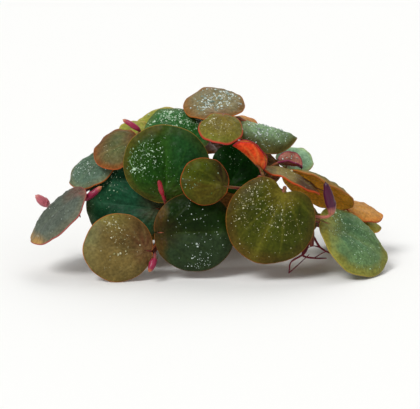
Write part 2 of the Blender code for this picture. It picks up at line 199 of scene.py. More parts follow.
# %% Driving dimensions, in millimetres and degrees
LEAF_THICKNESS = 0.6
RIM_THICKNESS = 0.3
STEM_DIAMETER = 1.4
PETIOLE_DIAMETER = 1.0
TOUCH_GAP = 0.36
INTO_STEM = TOUCH_GAP + 0.2
BRANCH_RISE = 1.0
BLADE_PULL = 0.18
STEM_PULL = 0.33
PETIOLE_KNEE = 1.0
STEM_SPACING = 3.2
NOTCH_WIDTH = 1.24
LOBE_GAP = 0.36
NOTCH_AT_PETIOLE = 70.0
NOTCH_AT_MIDDLE = 2.0
LOBE_START = 0.8
POUCH_HEIGHT = 0.09
POUCH_START = 0.3
CREASE_ROUNDING = 0.07
BLADE_STEPS = 16
SMALL_BLADE_STEPS = 12
SMALL_BLADE = 10.5
BLADE_RINGS = (0.0, 0.52, 1.0)

# %% [markdown]
# ## The stems' paths
#
# The stem branches ten times. Each branch names the stem that it forks from, and runs through a few
# points.

# %% Stems


class Stem(NamedTuple):
    """The stem that this one forks from, with how far along it, and the points that it runs through."""

    forks_from: tuple
    through: tuple


STEMS = {
    "stem_main": Stem(
        (), ((-9, -2.0, 16.4), (-5, -2.2, 17.2), (0, -2.4, 17.6), (6, -2.4, 17.4), (12.4, -2.8, 16.8))
    ),
    "stem_left": Stem(
        ("stem_main", 0.1),
        (
            (-9.4, 0.4, 16.4), (-13.0, 0.2, 16.8), (-18.5, -0.2, 16.6), (-24.6, -1.0, 14.8),
            (-26.0, -4.6, 13.4), (-28.2, -3.2, 11.0),
        ),
    ),
    "stem_upper_left": Stem(
        ("stem_main", 0.16), ((-9.6, -0.6, 20.8), (-13.2, -0.9, 24.2), (-14.8, -2.6, 26.0))
    ),
    "stem_front_left": Stem(
        ("stem_main", 0.36), ((-4.8, -7.4, 13.8), (-8.2, -11.9, 9.6), (-10.8, -13.8, 5.0))
    ),
    "stem_top": Stem(("stem_main", 0.6), ((3.6, -1.0, 21.6), (3.4, -1.4, 25.2), (2.2, -3.8, 28.2))),
    "stem_front_right": Stem(
        ("stem_main", 0.96),
        (
            (13.6, -7.0, 15.8), (15.4, -11.0, 15.0), (18.2, -12.0, 12.6), (19.8, -11.8, 9.4),
            (19.9, -11.6, 6.2),
        ),
    ),
    "stem_young": Stem(
        ("stem_front_right", 0.36), ((13.8, -13.4, 16.2), (11.6, -13.2, 17.6), (9.8, -12.4, 19.4))
    ),
    "stem_right_back": Stem(("stem_main", 0.98), ((15.2, 0.6, 12.6), (19.6, 2.6, 7.6), (25.0, 1.6, 6.8))),
    "stem_back": Stem(("stem_main", 0.5), ((0.4, 2.6, 16.0), (0.2, 6.8, 12.4), (0.0, 9.6, 8.6))),
    "stem_back_left": Stem(
        ("stem_main", 0.25), ((-8.0, 2.8, 14.0), (-11.4, 5.8, 11.0), (-13.6, 7.6, 8.0))
    ),
    "stem_back_right": Stem(("stem_main", 0.82), ((9.6, 2.4, 14.8), (11.4, 6.0, 11.6), (12.6, 8.4, 8.4))),
}
print(len(STEMS), "stems")

# %% [markdown]
# A stem's few points are joined by a smooth curve. A branch starts just off the skin of the stem that it
# forks from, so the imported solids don't overlap, and it leaves straight out.

# %% Curves through points


def smooth_path(points, spacing):
    """Points about `spacing` apart on one smooth curve: each stretch is the cubic that passes through
    its two ends with the slope of the chord between their neighbours."""
    points = np.array(points, float)
    ends = np.vstack([2 * points[0] - points[1], points, 2 * points[-1] - points[-2]])
    pieces = []
    for before, start, stop, after in zip(ends[:-3], ends[1:-2], ends[2:-1], ends[3:]):
        count = max(1, round(np.linalg.norm(stop - start) / spacing))
        t = np.linspace(0, 1, count, endpoint=False)[:, None]
        straight = (stop - before) * t
        bow = (2 * before - 5 * start + 4 * stop - after) * t**2
        swing = (3 * start - before - 3 * stop + after) * t**3
        pieces.append(start + (straight + bow + swing) / 2)
    return np.vstack([*pieces, points[-1:]])


def walked(path):
    """The distance along a path at each of its points."""
    return np.concatenate([[0], np.cumsum(np.linalg.norm(np.diff(path, axis=0), axis=1))])


def touch_point(joins, towards):
    """Where a branch meets the stem that it joins: just off its skin, on the side that looks towards a
    point, and the way straight out of the stem there."""
    name, share = joins
    path = PATHS[name]
    along = walked(path)
    place = share * along[-1]
    point = np.array([np.interp(place, along, path[:, axis]) for axis in range(3)])
    step = min(np.searchsorted(along, place, side="right"), len(along) - 1) - 1
    run = unit(path[step + 1] - path[step])
    out = np.asarray(towards, float) - point
    out = unit(out - run * (out @ run))
    return point + out * (STEM_DIAMETER / 2 + TOUCH_GAP), out


# The middle line of each stem. A branch has two more points, straight out of its parent.
PATHS = {}
for name, stem in STEMS.items():
    through = list(stem.through)
    if stem.forks_from:
        start, out = touch_point(stem.forks_from, through[0])
        through = [start, start + out * BRANCH_RISE / 2, start + out * BRANCH_RISE, *through]
    PATHS[name] = smooth_path(through, STEM_SPACING)
print("stems, mm long:", {name: round(walked(path)[-1], 1) for name, path in PATHS.items()})

# %% [markdown]
# ## The leaves' places
#
# Each leaf has a middle, a width, the way that it faces, the way that its tip points, and the stem that
# it joins. `fold` and `curl` bend its halves down beside the midrib (or up, when they are below zero, as
# in a rolled young leaf), and `arch` bends the midrib itself. `finish` names its colouring.

# %% Leaves


class Leaf(NamedTuple):
    """A leaf: its blade's middle, width, facing (turn to the right from the front, rise from level),
    the way its tip points seen from its upper side, and the stem that it joins, with how far along.
    The petiole leaves the blade at `dip` below it. `length` is the blade's length as a share of its
    width. `opening` is half the notch's opening in degrees, `lobes` how far its lobes are rounded off."""

    middle: tuple
    across: float
    facing: tuple
    tip: float
    joins: tuple
    slot: str
    finish: str
    fold: float = 6.0
    curl: float = 14.0
    arch: float = 12.0
    notch: float = 0.24
    dip: float = 35.0
    length: float = 1.0
    opening: float = 0.0
    lobes: float = 0.12
    on_floor: bool = False


LEAVES = {
    "leaf_front_left": Leaf(
        (-17.3, -17.0, 7.0), 13.6, (4, 12), 173, ("stem_front_left", 0.92), "olive_leaf", "tan_olive",
        on_floor=True,
    ),
    "leaf_front_middle": Leaf(
        (-2.7, -15.6, 9.5), 16.0, (4, 10), 0, ("stem_front_left", 0.74), "deep_green_leaf", "black_green"
    ),
    "leaf_front_right": Leaf(
        (11.8, -17.2, 12.2), 17.4, (0, 10), -114, ("stem_front_right", 0.42), "olive_leaf", "dark_olive",
        curl=8.0, opening=56.0, lobes=0.42, notch=0.34,
    ),
    "leaf_dark_left": Leaf(
        (-16.7, -6.8, 13.0), 16.9, (-20, 16), 178, ("stem_front_left", 0.34), "deep_green_leaf",
        "blue_green",
    ),
    "leaf_big_left": Leaf(
        (-8.3, -11.0, 21.9), 17.4, (-2, 10), 90, ("stem_front_left", 0.36), "mid_green_leaf", "leaf_green",
        length=0.88,
    ),
    "leaf_small_middle": Leaf(
        (-0.8, -16.0, 19.5), 9.4, (0, 12), 167, ("stem_front_right", 0.26), "olive_leaf", "yellow_olive"
    ),
    "leaf_dark_middle": Leaf(
        (5.9, -4.9, 20.2), 11.0, (4, 16), 60, ("stem_main", 0.68), "deep_green_leaf", "night_green"
    ),
    "leaf_low_right": Leaf(
        (28.7, -10.4, 6.5), 17.0, (53, 43), -48, ("stem_front_right", 0.78), "grey_green_leaf",
        "sea_green", on_floor=True,
    ),
    "leaf_low_left": Leaf(
        (-29.9, -10.0, 12.2), 14.8, (-68, 46), -92, ("stem_left", 0.88), "grey_green_leaf", "ash_green"
    ),
    "leaf_grey_left": Leaf(
        (-23.5, -2.3, 19.5), 10.2, (-40, 50), -96, ("stem_left", 0.42), "grey_green_leaf", "grey_green"
    ),
    "leaf_upper_left": Leaf(
        (-18.4, -5.2, 24.2), 9.8, (-30, 42), -141, ("stem_upper_left", 0.89), "bronze_leaf", "brown_olive"
    ),
    "leaf_upper_left_back": Leaf(
        (-15.4, 3.4, 26.1), 7.4, (-20, 62), 100, ("stem_upper_left", 0.7), "olive_leaf", "lime"
    ),
    "leaf_top_back_left": Leaf(
        (-9.2, 7.6, 27.3), 11.8, (-8, 66), 80, ("stem_upper_left", 0.5), "olive_leaf", "lime"
    ),
    "leaf_dark_top": Leaf(
        (-6.2, -1.6, 27.3), 13.8, (6, 56), 110, ("stem_upper_left", 0.66), "deep_green_leaf", "pearly_green"
    ),
    "leaf_top": Leaf(
        (1.0, 2.5, 32.2), 12.6, (-4, 68), 104, ("stem_top", 0.98), "olive_leaf", "silver_brown"
    ),
    "leaf_crown_small": Leaf(
        (2.3, -9.1, 28.9), 9.0, (4, 58), -100, ("stem_top", 0.93), "olive_leaf", "red_rimmed_lime",
        dip=15.0,
    ),
    "leaf_upper_right": Leaf(
        (11.7, 1.0, 27.4), 12.8, (70, 72), -70, ("stem_top", 0.8), "grey_green_leaf", "silver_green",
        fold=48.0, dip=-20.0,
    ),
    "leaf_shaded_right": Leaf(
        (16.2, -8.97, 19.15), 8.9, (86, 66), -90, ("stem_young", 0.9), "olive_leaf", "khaki", fold=2.0,
        curl=8.0, length=1.46,
    ),
    "leaf_gold_right": Leaf(
        (22.1, -1.0, 15.8), 16.0, (138, 52), -131, ("stem_main", 0.97), "gold_leaf", "gold_backed"
    ),
    "leaf_bronze_right": Leaf(
        (31.3, 3.1, 10.05), 8.6, (60, 66), -60, ("stem_right_back", 0.98), "bronze_leaf", "orange_brown",
        dip=62.0,
    ),
    "leaf_low_back_right": Leaf(
        (31.4, 5.1, 7.8), 8.6, (70, 60), -80, ("stem_right_back", 0.9), "olive_leaf", "lime"
    ),
    "leaf_teal_right": Leaf(
        (17.4, 5.0, 20.3), 8.0, (20, 60), 40, ("stem_back_right", 0.36), "grey_green_leaf", "pale_teal"
    ),
    "leaf_orange_back": Leaf(
        (6.5, 9.0, 26.1), 9.4, (20, 66), 60, ("stem_top", 0.52), "bronze_leaf", "orange_brown"
    ),
    "leaf_red_rolled": Leaf(
        (7.9, -12.6, 23.8), 5.8, (77, 52), 93, ("stem_young", 0.98), "red_leaf", "flame", fold=-34.0,
        curl=-92.0, length=1.34,
    ),
    "leaf_pink_young": Leaf(
        (16.0, -3.2, 20.6), 5.2, (30, 60), -30, ("stem_main", 0.92), "pink_growth", "young_pink",
        fold=-24.0, curl=-50.0, notch=0.34,
    ),
    "leaf_tan_behind": Leaf(
        (19.2, -8.7, 10.6), 5.6, (20, 10), -90, ("stem_front_right", 0.56), "bronze_leaf", "tan_olive",
        dip=-55.0,
    ),
    "leaf_back_left_low": Leaf(
        (-13.8, 13.6, 7.2), 14.4, (200, 24), 10, ("stem_back_left", 0.9), "mid_green_leaf", "leaf_green",
        on_floor=True,
    ),
    "leaf_back_left": Leaf(
        (-19.3, 7.1, 16.1), 12.6, (228, 40), 74, ("stem_back_left", 0.6), "deep_green_leaf", "blue_green"
    ),
    "leaf_back_middle_low": Leaf(
        (0.2, 16.2, 7.4), 14.2, (180, 22), -60, ("stem_back", 0.9), "olive_leaf", "tan_olive",
        on_floor=True,
    ),
    "leaf_back_middle": Leaf(
        (-6.8, 9.5, 18.4), 13.4, (186, 42), 80, ("stem_back", 0.4), "mid_green_leaf", "leaf_green"
    ),
    "leaf_back_right_low": Leaf(
        (13.9, 14.4, 7.2), 14.2, (160, 24), 170, ("stem_back_right", 0.9), "grey_green_leaf", "sea_green",
        on_floor=True,
    ),
    "leaf_back_right": Leaf(
        (8.4, 9.8, 18.3), 14.0, (166, 44), 100, ("stem_back_right", 0.4), "olive_leaf", "dark_olive"
    ),
    "leaf_back_top": Leaf(
        (1.2, 8.6, 22.6), 10.4, (172, 60), -96, ("stem_top", 0.6), "olive_leaf", "brown_olive"
    ),
    "leaf_left_side_low": Leaf(
        (-17.5, 1.5, 6.2), 12.0, (262, 46), -60, ("stem_back_left", 0.8), "olive_leaf", "dark_olive",
        on_floor=True,
    ),
    "leaf_right_side_low": Leaf(
        (26.5, 9.0, 6.0), 11.6, (118, 46), -110, ("stem_back_right", 0.98), "mid_green_leaf", "leaf_green",
        on_floor=True,
    ),
}
print(len(LEAVES), "leaves")


def leaf_axes(leaf):
    """The leaf's own directions, as rows: along its midrib to the tip, across, out of its upper side."""
    turn, rise = np.radians(leaf.facing)
    out = np.array([np.sin(turn) * np.cos(rise), -np.cos(turn) * np.cos(rise), np.sin(rise)])
    level = np.array([np.cos(turn), np.sin(turn), 0.0])
    tip = np.radians(leaf.tip)
    along = np.cos(tip) * level + np.sin(tip) * np.cross(out, level)
    return np.array([along, np.cross(out, along), out])


# %% [markdown]
# ## The shape of a blade
#
# Flat, a blade is a circle measured from the petiole, which sits in from its edge by the notch. Its two
# parameters are the turn round the petiole, from -1 to 1, and the reach from the petiole to the rim.
# Then the flat shape is bent. Working from flat places keeps everything else simple, because veins,
# lumps and colours can all be laid out on the flat leaf.

# %% Flat outline and bends


def flat_places(leaf, turn, reach, foot=0.0, gap=LOBE_GAP, wander=0.0, seed=0):
    """Places (along, across) of the flat blade. The distance from the petiole is the circle's, cos part
    plus the square root of what is left of the radius, less a rounding of the lobes. The angle stops
    short of the notch, whose sides are `gap` apart. `wander` makes the outline uneven."""
    radius = leaf.across / 2
    hub = radius * (1 - leaf.notch)
    solid_foot = PETIOLE_DIAMETER / 2
    down_notch = solid_foot + (radius * leaf.notch * (1 - leaf.lobes) - solid_foot) * reach
    widest = np.sin(np.radians(NOTCH_AT_PETIOLE))
    notch_side = np.arcsin(np.clip(gap / 2 / down_notch, 0, widest))
    angle = turn * (np.pi - np.maximum(notch_side, np.radians(leaf.opening)))
    rim = hub * np.cos(angle) + np.sqrt(radius**2 - (hub * np.sin(angle)) ** 2)
    lobe = np.clip((np.abs(turn) - LOBE_START) / (1 - LOBE_START), 0, 1)
    phase = seed * 1.7
    uneven = 0.5 * np.sin(3 * angle + phase) + 0.3 * np.sin(5 * angle - phase) + 0.2 * np.sin(11 * angle)
    rim = rim * (1 - leaf.lobes * lobe**2) * (1 + wander * uneven * soft_step(reach, 0.2, 1))
    distance = foot + (rim - foot) * reach
    return distance * np.cos(angle) - hub, distance * np.sin(angle), rim - distance


def bend(leaf, along, across, lift):
    """The bent blade at flat places, `lift` above its middle sheet. The halves bulge by a share of the
    radius, then each half turns down by `fold` at the midrib and by `curl` more on the way to the rim,
    along a circular arc, and the midrib bends by `arch`, along another."""
    radius = leaf.across / 2
    width, hand = np.abs(across), np.sign(across)
    edge = np.minimum((along**2 + across**2) / radius**2, 1)
    bulge = POUCH_HEIGHT * radius * (1 - np.exp(-((width / radius / POUCH_START) ** 2))) * (1 - edge**2)
    along = along * leaf.length
    curl, arch = np.radians(leaf.curl) / radius, np.radians(leaf.arch) / radius
    fold = np.radians(leaf.fold)
    crease = CREASE_ROUNDING * radius
    rounded = np.sqrt(width**2 + crease**2) - crease
    lean = fold + curl * width
    sideways = hand * (np.sin(lean) - np.sin(fold)) / curl
    drop = (np.cos(fold) - np.cos(fold + curl * rounded)) / curl
    sideways = sideways + lift * np.sin(lean) * across / np.hypot(width, crease)
    height = bulge - drop + lift * np.cos(lean)
    bow = arch * along
    forward = np.sin(bow) / arch + height * np.sin(bow)
    upward = height * np.cos(bow) - (1 - np.cos(bow)) / arch
    return np.stack([forward, sideways, upward], axis=-1)


def set_down(leaf):
    """A leaf that the heap rests on, moved so that its solid's lowest corner is on the floor. The
    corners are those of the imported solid, whose sheets have a few rings of points."""
    steps = SMALL_BLADE_STEPS if leaf.across < SMALL_BLADE else BLADE_STEPS
    round_middle = np.linspace(-1, 1, steps + 1) * np.radians(180 - NOTCH_AT_MIDDLE)
    round_petiole = np.arctan2(np.sin(round_middle), 1 - leaf.notch + np.cos(round_middle))
    turn, reach = np.meshgrid(round_petiole / round_petiole[-1], BLADE_RINGS)
    along, across, _ = flat_places(leaf, turn, reach, foot=PETIOLE_DIAMETER / 2, gap=NOTCH_WIDTH)
    down = leaf_axes(leaf)[:, 2]
    sheets = (LEAF_THICKNESS / 2, -LEAF_THICKNESS / 2)
    lowest = min((bend(leaf, along, across, lift) @ down).min() for lift in sheets)
    return leaf._replace(middle=(*leaf.middle[:2], -lowest))


LEAVES = {name: set_down(leaf) if leaf.on_floor else leaf for name, leaf in LEAVES.items()}
print({name: round(leaf.middle[2], 2) for name, leaf in LEAVES.items() if leaf.on_floor})

# %% [markdown]
# ## Relief on a blade
#
# A real blade isn't smooth. A deep groove runs out from the petiole over the midrib and fades towards
# the tip. Side veins fan out as shallow grooves above and ribs below, the skin between them puckers, the
# rim waves a little, and the whole upper side is pebbled with swollen cells. The relief is real
# geometry, so it shows from every side.

# %% Veins, puckers and waves
VEIN_ANGLES = np.radians([0.0, 27.0, 56.0, 88.0, 124.0])
VEIN_WIDTH = 0.3
VEIN_DEPTH = 0.06
CREASE_DEPTH = 0.62
CREASE_WIDTH = 1.0
PUCKER_SIZE = 2.1
PUCKER_HEIGHT = 0.11
PEBBLE_SIZE = 0.62
PEBBLE_HEIGHT = 0.028
WAVE_HEIGHT = 0.16


def ripples(x, y, size, seed):
    """A smooth field of rounded lumps about `size` across, mostly between -1 and 1: a quarter of the
    sum of nine cosine ripples, each with its own direction, length and phase."""
    draw = np.random.default_rng(seed)
    turn = np.pi * (np.arange(9) + draw.random(9)) / 9
    wave = 2 * np.pi / size * draw.uniform(0.75, 1.3, 9)
    phase = draw.uniform(0, 2 * np.pi, 9)
    x, y = np.asarray(x)[..., None], np.asarray(y)[..., None]
    return np.cos((x * np.cos(turn) + y * np.sin(turn)) * wave + phase).sum(-1) / 4


def veins(leaf, along, across):
    """How strongly a flat place lies on a vein, 0 to 1. Each vein leaves the petiole at its own angle
    and bends towards the tip as it goes. The strength is a bell curve across it that fades outwards."""
    radius = leaf.across / 2
    x, y = along + radius * (1 - leaf.notch), across
    distance, angle = np.hypot(x, y), np.abs(np.arctan2(y, x))
    out = distance / (radius * 1.7)
    path = VEIN_ANGLES * (1 - 0.3 * out[..., None])
    off = distance[..., None] * np.sin(np.clip(angle[..., None] - path, -np.pi / 2, np.pi / 2))
    wide = VEIN_WIDTH * (1.25 - 0.9 * out[..., None])
    strength = np.exp(-((off / wide) ** 2)).max(-1)
    return strength * (1 - soft_step(out, 0.55, 1.0)) * soft_step(distance, 0.2, 1.0)


def crease(leaf, along, across):
    """How deep the groove over the midrib is: it falls off exponentially to both sides, starts a little
    way out from the petiole and fades towards the tip."""
    radius = leaf.across / 2
    share = along / radius
    faded = soft_step(share + 1 - leaf.notch, 0.05, 0.3) * (1 - soft_step(share, -0.3, 0.9))
    return CREASE_DEPTH * min(1, radius / 6) * np.exp(-np.abs(across) / CREASE_WIDTH) * faded


def relief(leaf, along, across, seed):
    """The height added to the middle sheet, and what only the upper side gets, in millimetres. The waves
    grow with the fourth and the sixth power of the distance from the middle, the puckers fade on the
    veins, and the veins and the midrib's groove are cut out of the rest."""
    radius = leaf.across / 2
    out = np.hypot(along, across) / radius
    angle = np.arctan2(across, along)
    wave = WAVE_HEIGHT * out**4 * np.sin(5 * angle + seed) + 0.6 * WAVE_HEIGHT * out**6 * np.sin(9 * angle)
    vein = veins(leaf, along, across)
    pucker = PUCKER_HEIGHT * ripples(along, across, PUCKER_SIZE, seed) * (1 - vein) * (1 - 0.6 * out**4)
    pebble = PEBBLE_HEIGHT * ripples(along, across, PEBBLE_SIZE, seed + 100)
    return wave + pucker - VEIN_DEPTH * vein - crease(leaf, along, across), pebble


SAMPLE = LEAVES["leaf_big_left"]
heights = relief(SAMPLE, np.linspace(-4, 4, 5), np.zeros(5), 0)[0]
print("heights along a midrib, mm:", heights.round(2).tolist())

# %% [markdown]
# ## From grids of points to a closed mesh
#
# A piece is made of shells. A shell is a grid of points, or two grids that share their edges. Points
# that fall on the same place are merged, which closes rims, seams and poles in one go, and a square with
# a merged side becomes a triangle. Each shell's signed volume says whether its faces point outwards.

# %% Shells


class Shell(NamedTuple):
    """Points in millimetres, faces of four corners (a triangle repeats its last one), values kept at
    the points for the finish, and the number of the finish that the faces take."""

    points: np.ndarray
    faces: np.ndarray
    place: np.ndarray
    marks: np.ndarray
    finish: int


def grid_faces(rows, columns, first=0, turned=False):
    """The squares of a grid of points, numbered row by row from `first`."""
    corner = first + np.arange(rows - 1)[:, None] * columns + np.arange(columns - 1)
    square = np.stack([corner, corner + columns, corner + columns + 1, corner + 1], -1).reshape(-1, 4)
    return square[:, ::-1] if turned else square


def weld(points, faces, *values):
    """Merges points on the same place, drops flat faces, and turns the shell's faces outwards: six
    times its volume is the sum of a . (b x c) over its triangles, and is below zero when they look in."""
    _, kept, place_of = np.unique(np.round(points, 4), axis=0, return_index=True, return_inverse=True)
    points = points[kept]
    faces = place_of.reshape(-1)[faces]
    same = faces == np.roll(faces, -1, axis=1)
    squares = faces[same.sum(1) == 0]
    halves = faces[same.sum(1) == 1]
    corners = halves[~same[same.sum(1) == 1]].reshape(-1, 3)
    faces = np.vstack([squares, corners[:, [0, 1, 2, 2]]])
    a, b, c, d = (points[faces[:, i]] for i in range(4))
    volume = np.einsum("ij,ij->", a, np.cross(b, c)) + np.einsum("ij,ij->", a, np.cross(c, d))
    if volume < 0:
        faces = turn_round(faces)
    return points, faces, [value[kept] for value in values]


def turn_round(faces):
    """The same faces seen from the other side, with a triangle's repeated corner still last."""
    triangle = faces[:, 2] == faces[:, 3]
    flipped = faces[:, ::-1].copy()
    flipped[triangle] = faces[triangle][:, [2, 1, 0, 0]]
    return flipped


def add_piece(name, shells, finishes, node):
    """One smooth mesh object made of closed shells, which stands for its plain solid."""
    starts = np.cumsum([0] + [len(shell.points) for shell in shells[:-1]])
    points = np.vstack([shell.points for shell in shells]) * MM
    faces = np.vstack([shell.faces + start for shell, start in zip(shells, starts)])
    numbers = np.concatenate([np.full(len(shell.faces), shell.finish) for shell in shells])
    faces = [face[:3] if face[2] == face[3] else face for face in faces.tolist()]
    mesh = bpy.data.meshes.new(name)
    mesh.from_pydata(points, [], faces)
    mesh.polygons.foreach_set("material_index", numbers.astype(np.int32))
    mesh.shade_smooth()
    for key in ("place", "marks"):
        values = np.vstack([getattr(shell, key) for shell in shells]).astype(np.float32)
        mesh.attributes.new(key, "FLOAT_VECTOR", "POINT").data.foreach_set("vector", values.ravel())
    for finish in finishes:
        mesh.materials.append(finish)
    piece = bpy.data.objects.new(name, mesh)
    bpy.context.scene.collection.objects.link(piece)
    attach(piece, "root")
    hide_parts(node)
    return sum(len(face) - 2 for face in faces)


print("a grid of 3 by 4 points has", len(grid_faces(3, 4)), "squares")

# %% [markdown]
# ## A blade as a shell
#
# The upper and the lower sheet share the rim and the notch's sides, where the blade's thickness falls to
# nothing along a quarter circle, so the edge is rounded. Rows of points crowd at the rim to hold that
# rounding, and columns crowd at the notch.

# %% Blade shell
EDGE_ROWS = (0.0, 0.03, 0.09, 0.18)


def half_thickness(edge):
    """Half the blade's thickness at a distance from its edge: a quarter circle up to half the rim's
    thickness, then a slow swelling to half the full thickness 3 mm in."""
    round_edge = np.sqrt(1 - (1 - np.clip(edge / (RIM_THICKNESS / 2), 0, 1)) ** 2)
    return round_edge * (RIM_THICKNESS + (LEAF_THICKNESS - RIM_THICKNESS) * soft_step(edge, 0.3, 3)) / 2


def blade_grid(leaf, spacing):
    """Turns and reaches of the grid, evenly spaced round the rim and outwards, closer at the edges."""
    radius = leaf.across / 2
    columns = 2 * round(np.pi * radius / spacing)
    last = np.radians(180 - NOTCH_AT_MIDDLE)
    even = np.linspace(-1, 1, columns + 1) * last
    ends = np.array(EDGE_ROWS[1:3]) / radius
    even = np.sort(np.concatenate([even, ends - last, last - ends]))
    round_petiole = np.arctan2(np.sin(even), 1 - leaf.notch + np.cos(even))
    longest = radius * (2 - leaf.notch)
    edge_reaches = 1 - np.array(EDGE_ROWS) / longest
    inner_reaches = np.linspace(0, edge_reaches[-1] - spacing / longest / 2, round(longest / spacing))
    reaches = np.concatenate([inner_reaches, edge_reaches[::-1]])
    return np.meshgrid(round_petiole / round_petiole[-1], reaches)


def blade_shell(leaf, spacing, seed):
    """The closed blade: both sheets, each the bent middle sheet lifted by half the thickness and by its
    own relief. It keeps flat places, the distance from the rim, veins and the side at each point."""
    turn, reach = blade_grid(leaf, spacing)
    along, across, to_rim = flat_places(leaf, turn, reach, wander=0.017, seed=seed)
    beside_notch = np.hypot(along + leaf.across / 2 * (1 - leaf.notch), across) * (1 - np.abs(turn)) * np.pi
    edge = np.minimum(to_rim, beside_notch)
    both, upper = relief(leaf, along, across, seed)
    vein = veins(leaf, along, across)
    half = half_thickness(edge)
    calm = soft_step(edge, 0.0, 0.4)
    sheets, places, marks = [], [], []
    for side in (1, -1):
        rib = 0.5 * VEIN_DEPTH * vein if side < 0 else 0.0
        lift = both + side * (half + (upper * calm if side > 0 else rib * calm))
        sheets.append(bend(leaf, along, across, lift).reshape(-1, 3))
        flat = np.stack([along, across, np.zeros_like(along)], -1) / (leaf.across / 2)
        places.append(flat.reshape(-1, 3))
        marks.append(np.stack([to_rim, vein, np.full_like(edge, side)], -1).reshape(-1, 3))
    rows, columns = turn.shape
    faces = np.vstack([grid_faces(rows, columns), grid_faces(rows, columns, rows * columns, turned=True)])
    points, faces, (place, mark) = weld(np.vstack(sheets), faces, np.vstack(places), np.vstack(marks))
    return Shell(points, faces, place, mark, 0)


print("a blade's grid, rows by columns:", blade_grid(SAMPLE, 0.3)[0].shape)

# %% [markdown]
# ## A tube along a path
#
# Stalks, stems, buds and roots are all tubes: a ring carried along a path. The rings keep one fixed
# sideways direction, the one that the path itself least runs in, so they don't twist. A radius of zero
# at both ends closes the tube.

# %% Tube shell


def tube_shell(path, radii, sides, finish, ridges=0.0):
    """A closed tube: at each point of the path, a ring in the plane square to it, the radius times the
    cosine of the turn sideways and its sine upwards. The radius may vary by `ridges`, a grid of shares.
    It keeps the distances along and round it, and the share of the way along."""
    run = unit(np.gradient(path, axis=0))
    steady = np.linalg.svd(run, full_matrices=True)[2][2]
    sideways = unit(np.cross(run, steady))
    upward = np.cross(sideways, run)
    turn = np.linspace(0, 2 * np.pi, sides + 1)
    ring = np.cos(turn)[None, :, None] * sideways[:, None] + np.sin(turn)[None, :, None] * upward[:, None]
    size = np.outer(radii, np.ones(sides + 1)) * (1 + ridges)
    size[:, -1] = size[:, 0]
    ring[:, -1] = ring[:, 0]
    points = path[:, None] + ring * size[:, :, None]
    along = np.tile(walked(path)[:, None], sides + 1)
    round_it = np.tile(turn / (2 * np.pi), (len(path), 1))
    place = np.stack([along, round_it, size], -1).reshape(-1, 3)
    marks = place / (along.max(), 1, 1)
    faces = grid_faces(len(path), sides + 1)
    points, faces, (place, marks) = weld(points.reshape(-1, 3), faces, place, marks)
    return Shell(points, faces, place, marks, finish)


def round_ends(path, radii, steps=4):
    """Adds half-sphere ends to a tube: rings that shrink along a quarter circle to a radius of zero."""
    turn = np.linspace(np.pi / 2, 0, steps + 1)[1:]
    run = unit(np.gradient(path, axis=0))
    ahead = path[-1] + run[-1] * radii[-1] * np.cos(turn)[:, None]
    behind = path[0] - run[0] * radii[0] * np.cos(turn)[:, None]
    path = np.vstack([behind[::-1], path, ahead])
    return path, np.concatenate([(radii[0] * np.sin(turn))[::-1], radii, radii[-1] * np.sin(turn)])


rod = round_ends(np.outer(np.arange(5), (1.0, 0.0, 0.0)), np.ones(5))
print("a short rod with round ends has", len(tube_shell(*rod, 8, 0).faces), "faces")

# %% [markdown]
# ## Stalks
#
# The petiole isn't stuck on: it is the midrib coming out of the blade. So its tube starts as a keel
# under the blade, two thirds of the way to the tip, leaves through the notch, dips below the lobes and
# runs in to its stem along a smooth cubic curve.

# %% Petiole shell
PETIOLE_SIDES = 12
PETIOLE_RADIUS = 0.34
KEEL_START = 0.45
KEEL_POINTS = 14
KEEL_SINK = 0.04
PETIOLE_RINGS = 0.35


def petiole_path(leaf):
    """In the leaf's own frame: points of the knee below the blade, then a cubic curve to the stem, from
    the knee's direction to straight in to the stem, and last a point inside the stem's skin. The curve
    is the sum of its start, two guide points and its stop, weighted by (1-t)^3, 3(1-t)^2 t, 3(1-t) t^2
    and t^3."""
    axes, radius = leaf_axes(leaf), leaf.across / 2
    hub = -radius * (1 - leaf.notch)
    foot = bend(leaf, hub, np.array(0.0), 0.0)
    lean = np.radians(leaf.arch) * leaf.length * hub / radius - np.radians(leaf.dip)
    backwards = np.array([-np.cos(lean), 0.0, np.sin(lean)])
    start = foot + backwards * PETIOLE_KNEE
    stop, away = touch_point(leaf.joins, (start + backwards) @ axes + leaf.middle)
    stop, arrives = axes @ (stop - leaf.middle), axes @ -away
    far = np.linalg.norm(stop - start)
    first, second = start + backwards * far * BLADE_PULL, stop - arrives * far * STEM_PULL
    t = np.linspace(0, 1, max(8, round(far / 0.5)))[:, None]
    curve = (1 - t) ** 3 * start + 3 * (1 - t) ** 2 * t * first + 3 * (1 - t) * t**2 * second + t**3 * stop
    return foot, np.vstack([curve, stop + arrives * INTO_STEM])


